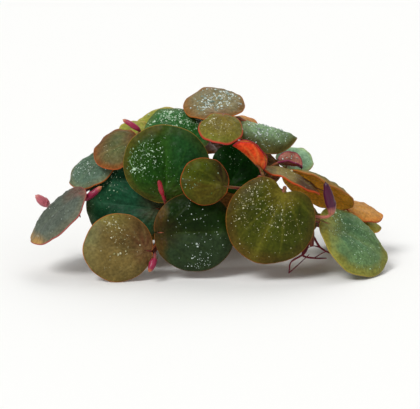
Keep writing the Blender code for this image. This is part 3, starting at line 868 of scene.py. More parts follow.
def petiole_shell(leaf):
    """The keel and the stalk as one tube, thin at the keel's start, full where it leaves the blade, and
    a little swollen at both ends of the free stretch, as a leaf joint is."""
    radius = leaf.across / 2
    hub = -radius * (1 - leaf.notch)
    foot, stalk = petiole_path(leaf)
    along = np.linspace(radius * KEEL_START, hub * 0.9, KEEL_POINTS)
    below = -(LEAF_THICKNESS / 2 - KEEL_SINK) - VEIN_DEPTH - crease(leaf, along, 0.0)
    keel = bend(leaf, along, np.zeros(KEEL_POINTS), below)
    path = smooth_path(np.vstack([keel, (foot + stalk[0]) / 2 + (0, 0, -0.1), stalk]), PETIOLE_RINGS)
    length = walked(path)
    free = length - length[np.linalg.norm(path - foot, axis=1).argmin()]
    grown = soft_step(free, -radius * 1.2, 0.4)
    joint = 0.2 * np.exp(-((free - 0.6) ** 2)) + 0.3 * np.exp(-(((length[-1] - length) / 0.8) ** 2))
    size = min(1.0, 0.72 + radius / 30)
    radii = PETIOLE_RADIUS * size * (0.2 + 0.8 * grown) * (1 + joint)
    path, radii = round_ends(path, radii, 3)
    return tube_shell(path, radii, PETIOLE_SIDES, 1)


print("a keel and its stalk have", len(petiole_shell(SAMPLE).faces), "faces")

# %% [markdown]
# ## Pearly papillae with painted glints
#
# The skin of a blade is set with small swollen cells that keep it dry. Some clusters of them are large
# and full of air, and they show as glossy beads whose pale, nearly white colour is painted glints. Each
# bead is a low dome of 36 triangles, sunk a little into the blade. A cluster says how many, where on the
# flat leaf (as shares of its radius), how widely spread, and how large.

# %% Bead shells
BEAD_SIDES = 6
BEAD_RINGS = np.radians([-20.0, 15.0, 50.0])
BEAD_HEIGHT = 0.8
BEAD_SINK = 0.3
BEAD_VARIETY = 0.38


def bead_shell(leaf, clusters, seed):
    """Domes on the upper sheet. Their places are drawn from a bell curve round each cluster's middle,
    their sizes from a skewed one, and each stands on the surface's own normal there. A dome's ring at
    a rise is as wide as the rise's cosine and as high as a share of its sine."""
    draw = np.random.default_rng(seed + 500)
    radius = leaf.across / 2
    along, across, size = [], [], []
    for count, middle_along, middle_across, spread, width in clusters:
        along.append(middle_along + spread * draw.normal(size=count))
        across.append(middle_across + spread * draw.normal(size=count))
        size.append(width * np.exp(BEAD_VARIETY * draw.normal(size=count)))
    along, across, size = (np.concatenate(values) for values in (along, across, size))
    inside = (np.hypot(along, across) < 0.9) & (np.hypot(along + 1 - leaf.notch, across) > 0.2)
    along, across, size = along[inside] * radius, across[inside] * radius, size[inside]

    def skin(x, y):
        """Points of the upper sheet's surface at flat places."""
        both, upper = relief(leaf, x, y, seed)
        return bend(leaf, x, y, both + upper + half_thickness(radius - np.hypot(x, y)))

    middle = skin(along, across)
    ahead = unit(skin(along + 0.05, across) - middle)
    out = unit(np.cross(ahead, skin(along, across + 0.05) - middle))
    aside = np.cross(out, ahead)
    turn = np.linspace(0, 2 * np.pi, BEAD_SIDES, endpoint=False)
    ring = np.cos(turn)[:, None, None] * ahead + np.sin(turn)[:, None, None] * aside
    half = size[:, None] / 2
    top, bottom = middle + out * BEAD_HEIGHT * half, middle - out * BEAD_SINK * half
    rings = []
    for rise in BEAD_RINGS:
        rings.append(middle + (ring * np.cos(rise) + out * np.sin(rise) * BEAD_HEIGHT) * half)
    points = np.concatenate([bottom[None], *rings, top[None]]).swapaxes(0, 1)
    here = 1 + np.arange(BEAD_SIDES)
    beside = 1 + (np.arange(BEAD_SIDES) + 1) % BEAD_SIDES
    last = (len(BEAD_RINGS) - 1) * BEAD_SIDES
    end = np.full(BEAD_SIDES, points.shape[1] - 1)
    foot, crown = (end * 0, beside, here, here), (here + last, beside + last, end, end)
    faces = [np.stack(foot, 1), np.stack(crown, 1)]
    for low in range(0, last, BEAD_SIDES):
        high = low + BEAD_SIDES
        faces.append(np.stack([here + low, beside + low, beside + high, here + high], 1))
    faces = np.vstack(faces)[None] + np.arange(len(points))[:, None, None] * points.shape[1]
    flat = np.repeat(np.stack([along, across, np.zeros_like(along)], 1) / radius, points.shape[1], axis=0)
    marks = np.tile([2.0, 0.0, 1.0], (len(flat), 1))
    return Shell(points.reshape(-1, 3), faces.reshape(-1, 4), flat, marks, 2)


print("a bead has", len(bead_shell(SAMPLE, [(1, 0.1, 0.1, 0.0, 0.2)], 0).faces), "faces")

# %% [markdown]
# ## Leaf colours
#
# A leaf's colours run in from its edge: a thin coloured rim, a margin, the middle of each half, and the
# inner part. Veins are paler, and red or brown stains the place where the stalk joins; on some leaves
# that darkening is painted shade of the fold at the midrib. Undersides are warmer. A patch adds a colour
# on one side of the flat leaf: it starts at one share of the radius in a direction and is full at
# another. Most patches are the leaf's own colours, and some are painted shade and light: a shadow cast
# by a leaf above, and the dark and pale halves of a blade folded at its midrib.

# %% Colourings


class Skin(NamedTuple):
    """sRGB colours of a leaf's upper side from the inside out, of its veins and of the stained place by its
    stalk (painted shade on some leaves), and of its underside, then patches as (direction, start, full,
    strength, colour), some of them painted shade and light, the gloss's roughness, the margin's width as
    a share of the radius, how much the veins show, and the rim's width in mm."""

    inner: str
    middle: str
    margin: str
    rim: str
    vein: str
    stain_and_shade: str
    under: str
    under_margin: str
    patches: tuple = ()
    rough: float = 0.4
    margin_width: float = 0.3
    vein_show: float = 0.22
    rim_width: float = 0.24


SKINS = {
    # The dark red-brown patch by the stalk is partly the leaf's own red and partly painted shade, where the
    # blade folds at the midrib.
    "tan_olive": Skin(
        "614F29", "6B5C32", "726030", "B0672A", "7B6D40", "4D1E17", "8A5A2A", "A86A2E",
        patches=(
            (0, 0.35, 0.9, 0.7, "636845"), (-90, 0.3, 0.9, 0.5, "746F32"),
            (-160, 0.0, 0.8, 0.75, "4A2A1A"), (90, 0.0, 0.12, 0.6, "6E5E32"),
        ),
    ),
    # The dark patch on the upper half is painted shade, the shadow of the leaves above it; the paler
    # grey-green patch on the lower half is painted light.
    "black_green": Skin(
        "0F2206", "16300A", "26300E", "6E4420", "2E3A14", "2A1408", "5A4A22", "7A5A28",
        patches=(
            (-90, -0.02, 0.1, 0.8, "2C3A24"), (90, 0.0, 0.16, 0.6, "101E04"),
            (180, 0.62, 0.8, 0.9, "4E3A16"),
        ),
    ),
    "dark_olive": Skin(
        "373E0A", "40430F", "514216", "8A5420", "726E23", "635218", "7A5A24", "96682A",
        patches=(
            (90, 0.1, 0.6, 0.5, "2F380A"), (-90, 0.3, 0.8, 0.5, "3C340A"), (0, 0.5, 0.95, 0.4, "473A11"),
        ),
    ),
    "blue_green": Skin(
        "18442C", "1F4E30", "394A2C", "5A4A26", "2F5D42", "4A311C", "4A5A30", "6A6A34",
        patches=((-60, 0.2, 0.8, 0.5, "1B4A35"),),
    ),
    "leaf_green": Skin(
        "16390A", "243F0C", "454514", "8A6A26", "335C1B", "31320F", "6A6A2C", "8A6A2C",
        patches=((-70, 0.0, 0.5, 0.7, "17411F"), (180, 0.45, 0.95, 0.5, "3F4013")),
    ),
    # The near-black stained place by the stalk and the dark brown patch towards it are painted shade, where
    # the blade folds down at the midrib.
    "yellow_olive": Skin(
        "343A06", "3D4609", "4A470F", "A6461E", "61611F", "200E02", "7A5A20", "A05A24",
        patches=(
            (-160, 0.1, 0.75, 0.9, "22120A"), (90, 0.0, 0.14, 0.85, "463C0E"),
            (20, 0.3, 0.9, 0.6, "36420C"),
        ),
    ),
    "night_green": Skin("0A2E05", "0D3807", "143A0B", "2E2A10", "1A4C11", "1A1C07", "3A3A1A", "4A4220"),
    # Its pale grey-green tones are partly the leaf's own colour and partly painted sheen, the whitish shine
    # on its upper side.
    "sea_green": Skin(
        "4E6E49", "5E784C", "7F7E38", "9A8A3E", "7F935E", "6C6528", "6A7A44", "8A8440",
        patches=((180, 0.35, 0.9, 0.8, "797028"),),
    ),
    # Its grey tones are partly the leaf's own colour and partly painted sheen, the whitish shine on its
    # upper side.
    "ash_green": Skin(
        "4E564C", "565E53", "606251", "A0504A", "6A7260", "603530", "7A6A44", "9A6A44",
        patches=((0, 0.62, 0.95, 0.85, "A8824A"), (180, 0.62, 0.9, 0.7, "7C4A3C")),
    ),
    # Its pale grey-green tones are partly the leaf's own colour and partly painted sheen, the whitish shine
    # on its upper side.
    "grey_green": Skin("485E4B", "566C5A", "656E53", "B0622C", "6E8368", "463825", "7A6A3C", "A0662E"),
    "brown_olive": Skin(
        "535936", "5E5634", "7C4D25", "B0582C", "756B42", "62321D", "8A5A2C", "B0642E",
        patches=((-40, 0.1, 0.7, 0.5, "714228"),),
    ),
    "lime": Skin("808630", "8F8F37", "9C8F39", "C08A34", "A4A051", "716225", "8A8434", "A8863A"),
    "pearly_green": Skin(
        "1D4D19", "2E602E", "4A6435", "7A6A2C", "467B44", "243812", "5A6A2C", "7A6A2C",
        patches=((-90, 0.3, 0.9, 0.8, "323810"),),
    ),
    # Its pale silvery tones are partly the leaf's own colour and partly painted sheen, the whitish shine on
    # its upper side.
    "silver_brown": Skin(
        "7E7757", "786D4C", "7E5E35", "B8682A", "8F8667", "6F4222", "A8772F", "C07A30",
        patches=((90, 0.5, 0.95, 0.5, "82582D"),),
    ),
    "red_rimmed_lime": Skin(
        "675B24", "6B6527", "756A2D", "B03A2E", "837B3A", "674A1A", "9A6A2C", "B0502C",
        patches=((0, 0.4, 0.9, 0.5, "5B6522"),), margin_width=0.2, rim_width=0.45,
    ),
    # Its pale grey-green inner tones are partly the leaf's own colour and partly painted sheen, the whitish
    # shine on its upper side.
    "silver_green": Skin(
        "77926D", "667A55", "49441E", "8A6230", "87A27C", "665A27", "6A5A2A", "8A6A30",
        patches=((-90, 0.35, 0.8, 0.85, "49441E"),),
    ),
    # The dark red-brown patch over the half towards the tip is painted shadow, cast by the gold leaf that
    # overhangs it.
    "khaki": Skin(
        "7A6C38", "78683A", "7C5E2C", "B84A22", "8C8048", "6A3A1C", "9A4A20", "B84C24",
        patches=((0, -0.1, 0.35, 0.85, "3C1E18"),), margin_width=0.16, rim_width=0.4,
    ),
    # The bright gold underside is partly the leaf's own colour and partly painted light: the glow of light
    # shining through the blade, on a side that faces away from the lamps.
    "gold_backed": Skin(
        "5A5A2A", "6A6430", "8A6A2C", "A0622A", "9A6A22", "5A3A1C", "D89424", "F0AE3A", rough=0.36
    ),
    "orange_brown": Skin("B07C3E", "B8803E", "C07A38", "A04A26", "C49A58", "7A3A20", "A8702E", "C07A34"),
    "pale_teal": Skin("799C78", "80A27E", "8BA472", "A0662C", "9CBC93", "746737", "7A8A5A", "9A7A40"),
    "flame": Skin(
        "B07A1E", "C0862A", "C8762A", "8E1A2A", "C89A4A", "8A2A1A", "C03A16", "B8301E", rough=0.32
    ),
    "young_pink": Skin(
        "9A6250", "A06A5A", "A05A50", "7A2A4A", "B48A78", "6A2A34", "8A4A3A", "7A2A48", rough=0.24
    ),
}
print(len(SKINS), "leaf colourings")

# %% [markdown]
# ## The leaf finish
#
# A living leaf's skin is a thin clear wax over green cells, matt from its papillae, so the shader has a
# leaf's IOR, a low specular level and a middling roughness. Colour comes in layers, each mixed over the
# one before by a mask made from the values kept at the points.

# %% Leaf finish
LEAF_IOR = 1.42
# Tones that change as slowly as the spaces between the veins, and specks as small as groups of cells.
CLOUD_SIZE = 3.2
SPECKLE_SIZE = 0.5
# Papillae are finer than this on the real leaf. They are drawn at 0.3 mm so that the render shows them.
PAPILLA_SIZE = 0.3
PATCH_SHIFT = 0.15


def leaf_finish(name, skin, radius, notch):
    """A leaf's waxy skin: layers of colour by distance from the edge, patches and a stained place by the
    stalk (on some leaves painted shade and light), veins, speckle and rim, another set for the underside,
    and a fine bump."""
    settings = {"IOR": LEAF_IOR, "Specular IOR Level": 0.08, "Roughness": skin.rough}
    material, tree, shader = new_finish(name, settings)
    place = add(tree, "ShaderNodeAttribute", {"attribute_name": "place"}).outputs["Vector"]
    marks = add(tree, "ShaderNodeAttribute", {"attribute_name": "marks"}).outputs["Vector"]
    edge, vein, side = add(tree, "ShaderNodeSeparateXYZ", links={0: marks}).outputs
    where = add(tree, "ShaderNodeTexCoord").outputs["Object"]
    cloud = {"Scale": per_mm(CLOUD_SIZE), "Detail": 3.0}
    cloud = add(tree, "ShaderNodeTexNoise", cloud, {"Vector": where}).outputs[0]
    speckle = {"Scale": per_mm(SPECKLE_SIZE), "Detail": 2.0}
    speckle = add(tree, "ShaderNodeTexNoise", speckle, {"Vector": where}).outputs[0]

    inwards = {"operation": "MULTIPLY_ADD", 1: 1 / radius, 2: -0.12}
    inwards = add(tree, "ShaderNodeMath", inwards, {0: edge}).outputs[0]
    inwards = add(tree, "ShaderNodeMath", {"operation": "MULTIPLY_ADD", 1: 0.24}, {0: cloud, 2: inwards})
    width = skin.margin_width
    upper_stops = [(0.0, skin.margin), (width * 0.35, skin.margin), (width, skin.middle), (0.9, skin.inner)]
    under_stops = [(0.0, skin.under_margin), (0.45, skin.under)]
    upper = add(tree, "ShaderNodeValToRGB", {"stops": upper_stops}, {0: inwards.outputs[0]}).outputs[0]
    under = add(tree, "ShaderNodeValToRGB", {"stops": under_stops}, {0: inwards.outputs[0]}).outputs[0]

    # Most patches are the leaf's own colours; some are painted shade and light, such as a shadow cast by a
    # leaf above and the dark half of a folded blade.
    for direction, start, full, strength, colour in skin.patches:
        turn = np.radians(direction)
        way = {"operation": "DOT_PRODUCT", 1: (np.cos(turn), np.sin(turn), 0.0)}
        way = add(tree, "ShaderNodeVectorMath", way, {0: place}).outputs["Value"]
        uneven = {"operation": "MULTIPLY_ADD", 1: 0.3}
        way = add(tree, "ShaderNodeMath", uneven, {0: cloud, 2: way}).outputs[0]
        mask = {1: start + PATCH_SHIFT, 2: full + PATCH_SHIFT, 4: strength}
        mask = {"interpolation_type": "SMOOTHSTEP", **mask}
        mask = add(tree, "ShaderNodeMapRange", mask, {0: way}).outputs[0]
        patch = {"data_type": "RGBA", 7: linear(colour)}
        upper = add(tree, "ShaderNodeMix", patch, {0: mask, 6: upper}).outputs[2]

    # The stained place by the stalk: the leaf's own red or brown, and on some leaves painted shade of the
    # fold at the midrib.
    near = {"operation": "DISTANCE", 1: (notch - 1, 0.0, 0.0)}
    near = add(tree, "ShaderNodeVectorMath", near, {0: place}).outputs["Value"]
    near = add(tree, "ShaderNodeMapRange", {1: 0.5, 2: 0.05, 4: 0.8}, {0: near}).outputs[0]
    stain_and_shade = {"data_type": "RGBA", 7: linear(skin.stain_and_shade)}
    upper = add(tree, "ShaderNodeMix", stain_and_shade, {0: near, 6: upper}).outputs[2]
    aside = add(tree, "ShaderNodeSeparateXYZ", links={0: place}).outputs[1]
    aside = add(tree, "ShaderNodeMath", {"operation": "ABSOLUTE"}, {0: aside}).outputs[0]
    band = add(tree, "ShaderNodeMapRange", {1: 0.16, 2: 0.0, 4: 0.3}, {0: aside}).outputs[0]
    paler = {"operation": "MULTIPLY_ADD", 1: skin.vein_show}
    paler = add(tree, "ShaderNodeMath", paler, {0: vein, 2: band}).outputs[0]
    ribs = {"data_type": "RGBA", 7: linear(skin.vein)}
    upper = add(tree, "ShaderNodeMix", ribs, {0: paler, 6: upper}).outputs[2]
    under = add(tree, "ShaderNodeMix", ribs, {0: paler, 6: under}).outputs[2]

    above = add(tree, "ShaderNodeMapRange", {1: -0.3, 2: 0.3}, {0: side}).outputs[0]
    colour = add(tree, "ShaderNodeMix", {"data_type": "RGBA"}, {0: above, 6: under, 7: upper}).outputs[2]
    dapple = {"data_type": "RGBA", "blend_type": "MULTIPLY", 0: 1.0}
    for pattern, least in ((speckle, 0.74), (cloud, 0.8)):
        value = {1: 0.3, 2: 0.7, 3: least, 4: 2 - least}
        value = add(tree, "ShaderNodeMapRange", value, {0: pattern}).outputs[0]
        colour = add(tree, "ShaderNodeMix", dapple, {6: colour, 7: value}).outputs[2]
    line = add(tree, "ShaderNodeMapRange", {1: skin.rim_width, 2: skin.rim_width / 4}, {0: edge}).outputs[0]
    rim = {"data_type": "RGBA", 7: linear(skin.rim)}
    colour = add(tree, "ShaderNodeMix", rim, {0: line, 6: colour}).outputs[2]
    tree.links.new(colour, shader.inputs["Base Color"])

    papillae = {"Scale": per_mm(PAPILLA_SIZE), "feature": "SMOOTH_F1"}
    papillae = add(tree, "ShaderNodeTexVoronoi", papillae, {"Vector": where}).outputs["Distance"]
    bump = {"Strength": 0.55, "Distance": 0.06 * MM, "invert": True}
    bump = add(tree, "ShaderNodeBump", bump, {"Height": papillae}).outputs[0]
    tree.links.new(bump, shader.inputs["Normal"])
    return material


# %% [markdown]
# ## Stalk, bead, stem, bud and root finishes
#
# Stalks and stems are smooth and juicy, red where the sun reaches them and green in between, with faint
# lengthwise streaks. Beads are swollen cells full of air and very glossy; their pale, nearly white colour
# is painted glints. Roots are thin, crimson and slightly glassy.

# %% Streaked finish for stems, stalks and roots
BLOTCH_SIZE = 2.4
GRAIN_SIZE = 0.35
BEAD_CLOUD_SIZE = 0.9


def streaked_finish(name, base, streak, blotch, rough):
    """A smooth plant stem: streaks that run along it, blotches of a second colour, and a fine bump.
    The streaks repeat round the tube, and they wander with the distance along it."""
    settings = {"IOR": LEAF_IOR, "Specular IOR Level": 0.4, "Roughness": rough}
    material, tree, shader = new_finish(name, settings)
    place = add(tree, "ShaderNodeAttribute", {"attribute_name": "place"}).outputs["Vector"]
    where = add(tree, "ShaderNodeTexCoord").outputs["Object"]
    stretch = {"operation": "MULTIPLY", 1: (0.25, 7.0, 0.0)}
    stretch = add(tree, "ShaderNodeVectorMath", stretch, {0: place}).outputs[0]
    lines = add(tree, "ShaderNodeTexNoise", {"Scale": 1.0, "Detail": 2.0}, {"Vector": stretch}).outputs[0]
    blots = {"Scale": per_mm(BLOTCH_SIZE), "Detail": 3.0}
    blots = add(tree, "ShaderNodeTexNoise", blots, {"Vector": where}).outputs[0]
    lines = add(tree, "ShaderNodeMapRange", {1: 0.42, 2: 0.62}, {0: lines}).outputs[0]
    blots = add(tree, "ShaderNodeMapRange", {1: 0.46, 2: 0.66}, {0: blots}).outputs[0]
    colour = {"data_type": "RGBA", 6: linear(base), 7: linear(streak)}
    colour = add(tree, "ShaderNodeMix", colour, {0: lines}).outputs[2]
    colour = add(tree, "ShaderNodeMix", {"data_type": "RGBA", 7: linear(blotch)}, {0: blots, 6: colour})
    tree.links.new(colour.outputs[2], shader.inputs["Base Color"])
    grain = {"Scale": per_mm(GRAIN_SIZE), "Detail": 2.0}
    grain = add(tree, "ShaderNodeTexNoise", grain, {"Vector": where}).outputs[0]
    bump = {"Strength": 0.4, "Distance": 0.03 * MM}
    bump = add(tree, "ShaderNodeBump", bump, {"Height": grain}).outputs[0]
    tree.links.new(bump, shader.inputs["Normal"])
    return material


def bead_finish(name, pale, deep):
    """A swollen cell full of air, glossy, whose pale, nearly white colour is painted glints. A noise cloud
    mixes that pale colour with the leaf's deeper colour.
    """
    settings = {"IOR": 1.4, "Roughness": 0.12, "Coat Weight": 0.6, "Coat Roughness": 0.05}
    material, tree, shader = new_finish(name, settings)
    where = add(tree, "ShaderNodeTexCoord").outputs["Object"]
    cloud = {"Scale": per_mm(BEAD_CLOUD_SIZE)}
    cloud = add(tree, "ShaderNodeTexNoise", cloud, {"Vector": where}).outputs[0]
    cloud = add(tree, "ShaderNodeMapRange", {1: 0.42, 2: 0.58}, {0: cloud}).outputs[0]
    colour = {"data_type": "RGBA", 6: linear(pale), 7: linear(deep)}
    colour = add(tree, "ShaderNodeMix", colour, {0: cloud}).outputs[2]
    tree.links.new(colour, shader.inputs["Base Color"])
    return material


STALK = streaked_finish("red petiole skin", "7A2E26", "6A5A22", "8A4A2A", 0.34)
STEM = streaked_finish("red stem skin", "6E2226", "7A5A2A", "8A3A30", 0.36)
ROOT = streaked_finish("crimson root skin", "6A1024", "7E2432", "561020", 0.42)
# Each tint pairs a pale colour, which is painted glints, with the leaf's own deeper colour.
BEADS = {
    "green": bead_finish("green papillae painted glints", "B8D2B4", "4E7844"),
    "warm": bead_finish("warm papillae painted glints", "CCC8A4", "7C7440"),
    "grey": bead_finish("grey papillae painted glints", "CCD8D0", "6E8070"),
}
print(len(bpy.data.materials), "finishes so far")

# %% [markdown]
# ## Make the leaves
#
# The grid is finest on the leaves that face the camera. Each leaf is one mesh: its blade, its stalk and
# its beads, placed by its own frame.

# %% Bead clusters: their tint, then each as (count, along, across, spread, size in mm)
CLUSTERS = {
    "leaf_front_left": (
        "warm", (57, 0.25, -0.62, 0.13, 0.19), (49, -0.1, -0.25, 0.2, 0.17), (27, 0.0, 0.5, 0.4, 0.14),
        (3, 0.0, 0.14, 0.1, 0.5),
    ),
    "leaf_front_middle": (
        "grey", (114, 0.15, -0.82, 0.18, 0.15), (49, -0.1, 0.3, 0.35, 0.14), (46, 0.4, -0.4, 0.3, 0.14),
        (2, 0.0, -0.2, 0.1, 0.46),
    ),
    "leaf_front_right": (
        "warm", (171, -0.35, -0.62, 0.26, 0.17), (114, -0.25, 0.1, 0.24, 0.15), (133, 0.3, 0.2, 0.4, 0.13),
        (57, 0.3, -0.7, 0.2, 0.15),
    ),
    "leaf_dark_left": ("green", (76, 0.42, -0.5, 0.16, 0.15), (38, 0.6, 0.2, 0.3, 0.12)),
    "leaf_big_left": (
        "green", (285, 0.25, 0.5, 0.26, 0.15), (44, -0.1, 0.72, 0.14, 0.18), (95, -0.3, 0.2, 0.4, 0.12),
        (3, -0.1, 0.7, 0.06, 0.44),
    ),
    "leaf_small_middle": ("green", (17, 0.75, 0.2, 0.2, 0.17), (23, 0.0, -0.2, 0.4, 0.12)),
    "leaf_dark_middle": ("green", (46, 0.2, 0.3, 0.4, 0.1)),
    "leaf_low_right": (
        "green", (114, -0.65, 0.1, 0.2, 0.18), (209, 0.1, 0.1, 0.45, 0.13), (114, 0.1, -0.4, 0.3, 0.13),
    ),
    "leaf_low_left": ("grey", (65, 0.1, 0.3, 0.5, 0.13)),
    "leaf_grey_left": ("grey", (171, 0.1, -0.2, 0.42, 0.15)),
    "leaf_upper_left": ("warm", (38, 0.1, 0.1, 0.5, 0.12)),
    "leaf_top_back_left": ("green", (114, 0.2, 0.2, 0.5, 0.15)),
    "leaf_dark_top": (
        "green", (228, 0.55, 0.1, 0.34, 0.26), (171, 0.1, -0.4, 0.3, 0.18), (114, 0.5, -0.4, 0.3, 0.22),
    ),
    "leaf_top": (
        "grey", (95, -0.25, 0.3, 0.24, 0.28), (140, 0.0, -0.3, 0.3, 0.28), (76, 0.3, -0.2, 0.35, 0.2),
    ),
    "leaf_crown_small": ("warm", (76, -0.35, -0.45, 0.2, 0.18), (76, 0.1, 0.0, 0.4, 0.14)),
    "leaf_upper_right": ("grey", (230, -0.1, -0.35, 0.36, 0.23), (95, 0.0, 0.3, 0.4, 0.2)),
    "leaf_shaded_right": ("warm", (46, 0.0, -0.2, 0.5, 0.14)),
    "leaf_pink_young": ("grey", (46, 0.0, 0.0, 0.4, 0.17)),
    "leaf_teal_right": ("green", (46, 0.0, 0.0, 0.5, 0.13)),
    "leaf_back_left_low": ("green", (95, 0.1, 0.2, 0.45, 0.15)),
    "leaf_back_left": ("green", (95, 0.2, 0.0, 0.45, 0.15)),
    "leaf_back_middle_low": ("warm", (95, 0.0, -0.2, 0.45, 0.15)),
    "leaf_back_middle": ("green", (114, 0.2, 0.1, 0.45, 0.17)),
    "leaf_back_right_low": ("green", (95, 0.0, 0.2, 0.45, 0.15)),
    "leaf_back_right": ("warm", (114, 0.1, 0.0, 0.45, 0.17)),
    "leaf_back_top": ("warm", (84, 0.1, 0.0, 0.45, 0.17)),
    "leaf_left_side_low": ("green", (76, 0.1, 0.0, 0.45, 0.15)),
    "leaf_right_side_low": ("green", (76, 0.1, 0.0, 0.45, 0.15)),
}
FINE = """
    leaf_front_left leaf_front_middle leaf_front_right leaf_dark_left leaf_big_left leaf_small_middle
    leaf_low_right leaf_dark_top leaf_top leaf_crown_small leaf_upper_right leaf_gold_right
    leaf_upper_left
""".split()
FINE_GRID = 0.26
PLAIN_GRID = 0.36
FAR_OFF = 0.9

# %% Leaf meshes
triangles = 0
farthest = 0.0
for seed, (name, leaf) in enumerate(LEAVES.items()):
    skin = SKINS[leaf.finish]
    grid = FINE_GRID if name in FINE else PLAIN_GRID
    shells = [blade_shell(leaf, grid, seed), petiole_shell(leaf)]
    finishes = [leaf_finish(name + "_skin", skin, leaf.across / 2, leaf.notch), STALK]
    if name in CLUSTERS:
        tint, *clusters = CLUSTERS[name]
        shells.append(bead_shell(leaf, clusters, seed))
        finishes.append(BEADS[tint])
    axes = leaf_axes(leaf)
    placed = []
    for shell in shells:
        points = shell.points @ axes + leaf.middle
        points[:, 2] = np.maximum(points[:, 2], 0.0)
        placed.append(shell._replace(points=points))
    low, high = (np.array(corner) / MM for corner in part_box(name))
    every = np.vstack([shell.points for shell in placed])
    off = max(np.abs(every.min(0) - low).max(), np.abs(every.max(0) - high).max())
    farthest = max(farthest, off)
    if off > FAR_OFF:
        print(name, "is", round(off, 2), "mm off its solid's box")
    triangles += add_piece(name + "_leaf", placed, finishes, name)
print("leaves:", triangles, "triangles, farthest from a solid's box", round(farthest, 2), "mm")

# %% [markdown]
# ## Make the stems
#
# A stem is a juicy tube with faint ridges, and it swells at each place where a leaf or a branch joins.

# %% Stem meshes
STEM_SIDES = 20
STEM_RADIUS = 0.56
STEM_RINGS = 0.3
STEM_ROOTED = 0.7
JOINT_LENGTH = 0.9
JOINT_SWELLING = 0.22


def stem_shell(name):
    """A stem's tube: its radius swells by a bell curve at each joint, and ridges run along it."""
    path = PATHS[name]
    stem = STEMS[name]
    if stem.forks_from:
        path = np.vstack([path[0] - unit(path[1] - path[0]) * STEM_ROOTED, path])
    path = smooth_path(path, STEM_RINGS)
    length = walked(path)
    joints = [leaf.joins[1] for leaf in LEAVES.values() if leaf.joins[0] == name]
    joints += [other.forks_from[1] for other in STEMS.values() if other.forks_from[:1] == (name,)]
    near = (length[:, None] - np.array(joints) * length[-1]) / JOINT_LENGTH
    swelling = JOINT_SWELLING * np.exp(-(near**2)).max(1)
    radii = STEM_RADIUS * (1 + swelling) * (1 - 0.12 * length / length[-1])
    path, radii = round_ends(path, radii)
    turn = np.linspace(0, 2 * np.pi, STEM_SIDES + 1)
    twist = walked(path)[:, None] * 0.08
    ridges = 0.045 * np.cos(6 * turn + twist) + 0.02 * np.cos(11 * turn - 2 * twist)
    return tube_shell(path, radii, STEM_SIDES, 0, ridges)


count = sum(add_piece(name + "_stem", [stem_shell(name)], [STEM], name) for name in STEMS)
print("stems:", count, "triangles")

# %% [markdown]
# ## Buds
#
# A bud is a young leaf rolled tightly round itself on a thin neck, so a spiral seam winds up it. Red
# pigment fills it, and its neck is paler.

# %% Buds
NECK_RADIUS = 0.8 * 0.38
BUD_SIDES = 24
BUD_RINGS = 0.12
SEAM_HEIGHT = 0.16
SEAM_TURNS = 1.5


class Bud(NamedTuple):
    """A bud on a neck: the stem that it joins, the foot and the tip of its swollen part, and its width."""

    joins: tuple
    foot: tuple
    tip: tuple
    width: float
    finish: str
    slot: str


BUDS = {
    "bud_left": Bud(
        ("stem_left", 0.985), (-31.8, -1.2, 11.7), (-34.5, -1.6, 13.8), 1.9, "pink", "pink_growth"
    ),
    "bud_left_red": Bud(
        ("stem_left", 0.76), (-24.2, -8.7, 14.5), (-20.8, -9.7, 17.2), 1.3, "crimson", "crimson_bud"
    ),
    "bud_upper_left": Bud(
        ("stem_upper_left", 0.98), (-13.6, -6.6, 27.8), (-16.7, -6.2, 29.8), 1.1, "crimson", "crimson_bud"
    ),
    "bud_on_big_left": Bud(
        ("stem_front_left", 0.6), (-8.9, -13.4, 16.4), (-9.6, -14.0, 19.3), 1.0, "scarlet", "crimson_bud"
    ),
    "bud_front_left": Bud(
        ("stem_front_left", 0.98), (-10.4, -16.8, 4.6), (-11.4, -18.4, 2.4), 1.4, "crimson", "crimson_bud"
    ),
    "bud_purple_right": Bud(
        ("stem_front_right", 0.7), (23.3, -14.6, 12.8), (22.2, -15.2, 19.2), 2.0, "purple", "purple_bud"
    ),
}

# %% [markdown]
# A bud's colours run along it, from its neck to its tip, over fine lengthwise veins.

# %% Bud finishes


def bud_finish(name, body, tip, neck):
    """A rolled young leaf: the neck's colour, the body's and the tip's run into each other along it,
    with fine lengthwise veins and a soft shine."""
    settings = {"IOR": LEAF_IOR, "Specular IOR Level": 0.45, "Roughness": 0.34}
    material, tree, shader = new_finish(name, settings)
    place = add(tree, "ShaderNodeAttribute", {"attribute_name": "place"}).outputs["Vector"]
    marks = add(tree, "ShaderNodeAttribute", {"attribute_name": "marks"}).outputs["Vector"]
    share = add(tree, "ShaderNodeSeparateXYZ", links={0: marks}).outputs[0]
    stops = [(0.0, neck), (0.5, neck), (0.6, body), (0.88, body), (1.0, tip)]
    colour = add(tree, "ShaderNodeValToRGB", {"stops": stops}, {0: share}).outputs[0]
    fine = add(tree, "ShaderNodeVectorMath", {"operation": "MULTIPLY", 1: (0.8, 16.0, 0.0)}, {0: place})
    fine = add(tree, "ShaderNodeTexNoise", {"Scale": 1.0, "Detail": 2.0}, {"Vector": fine.outputs[0]})
    value = add(tree, "ShaderNodeMapRange", {1: 0.3, 2: 0.7, 3: 0.7, 4: 1.3}, {0: fine.outputs[0]})
    dapple = {"data_type": "RGBA", "blend_type": "MULTIPLY", 0: 1.0}
    colour = add(tree, "ShaderNodeMix", dapple, {6: colour, 7: value.outputs[0]}).outputs[2]
    tree.links.new(colour, shader.inputs["Base Color"])
    bump = {"Strength": 0.5, "Distance": 0.05 * MM}
    bump = add(tree, "ShaderNodeBump", bump, {"Height": fine.outputs[0]}).outputs[0]
    tree.links.new(bump, shader.inputs["Normal"])
    return material


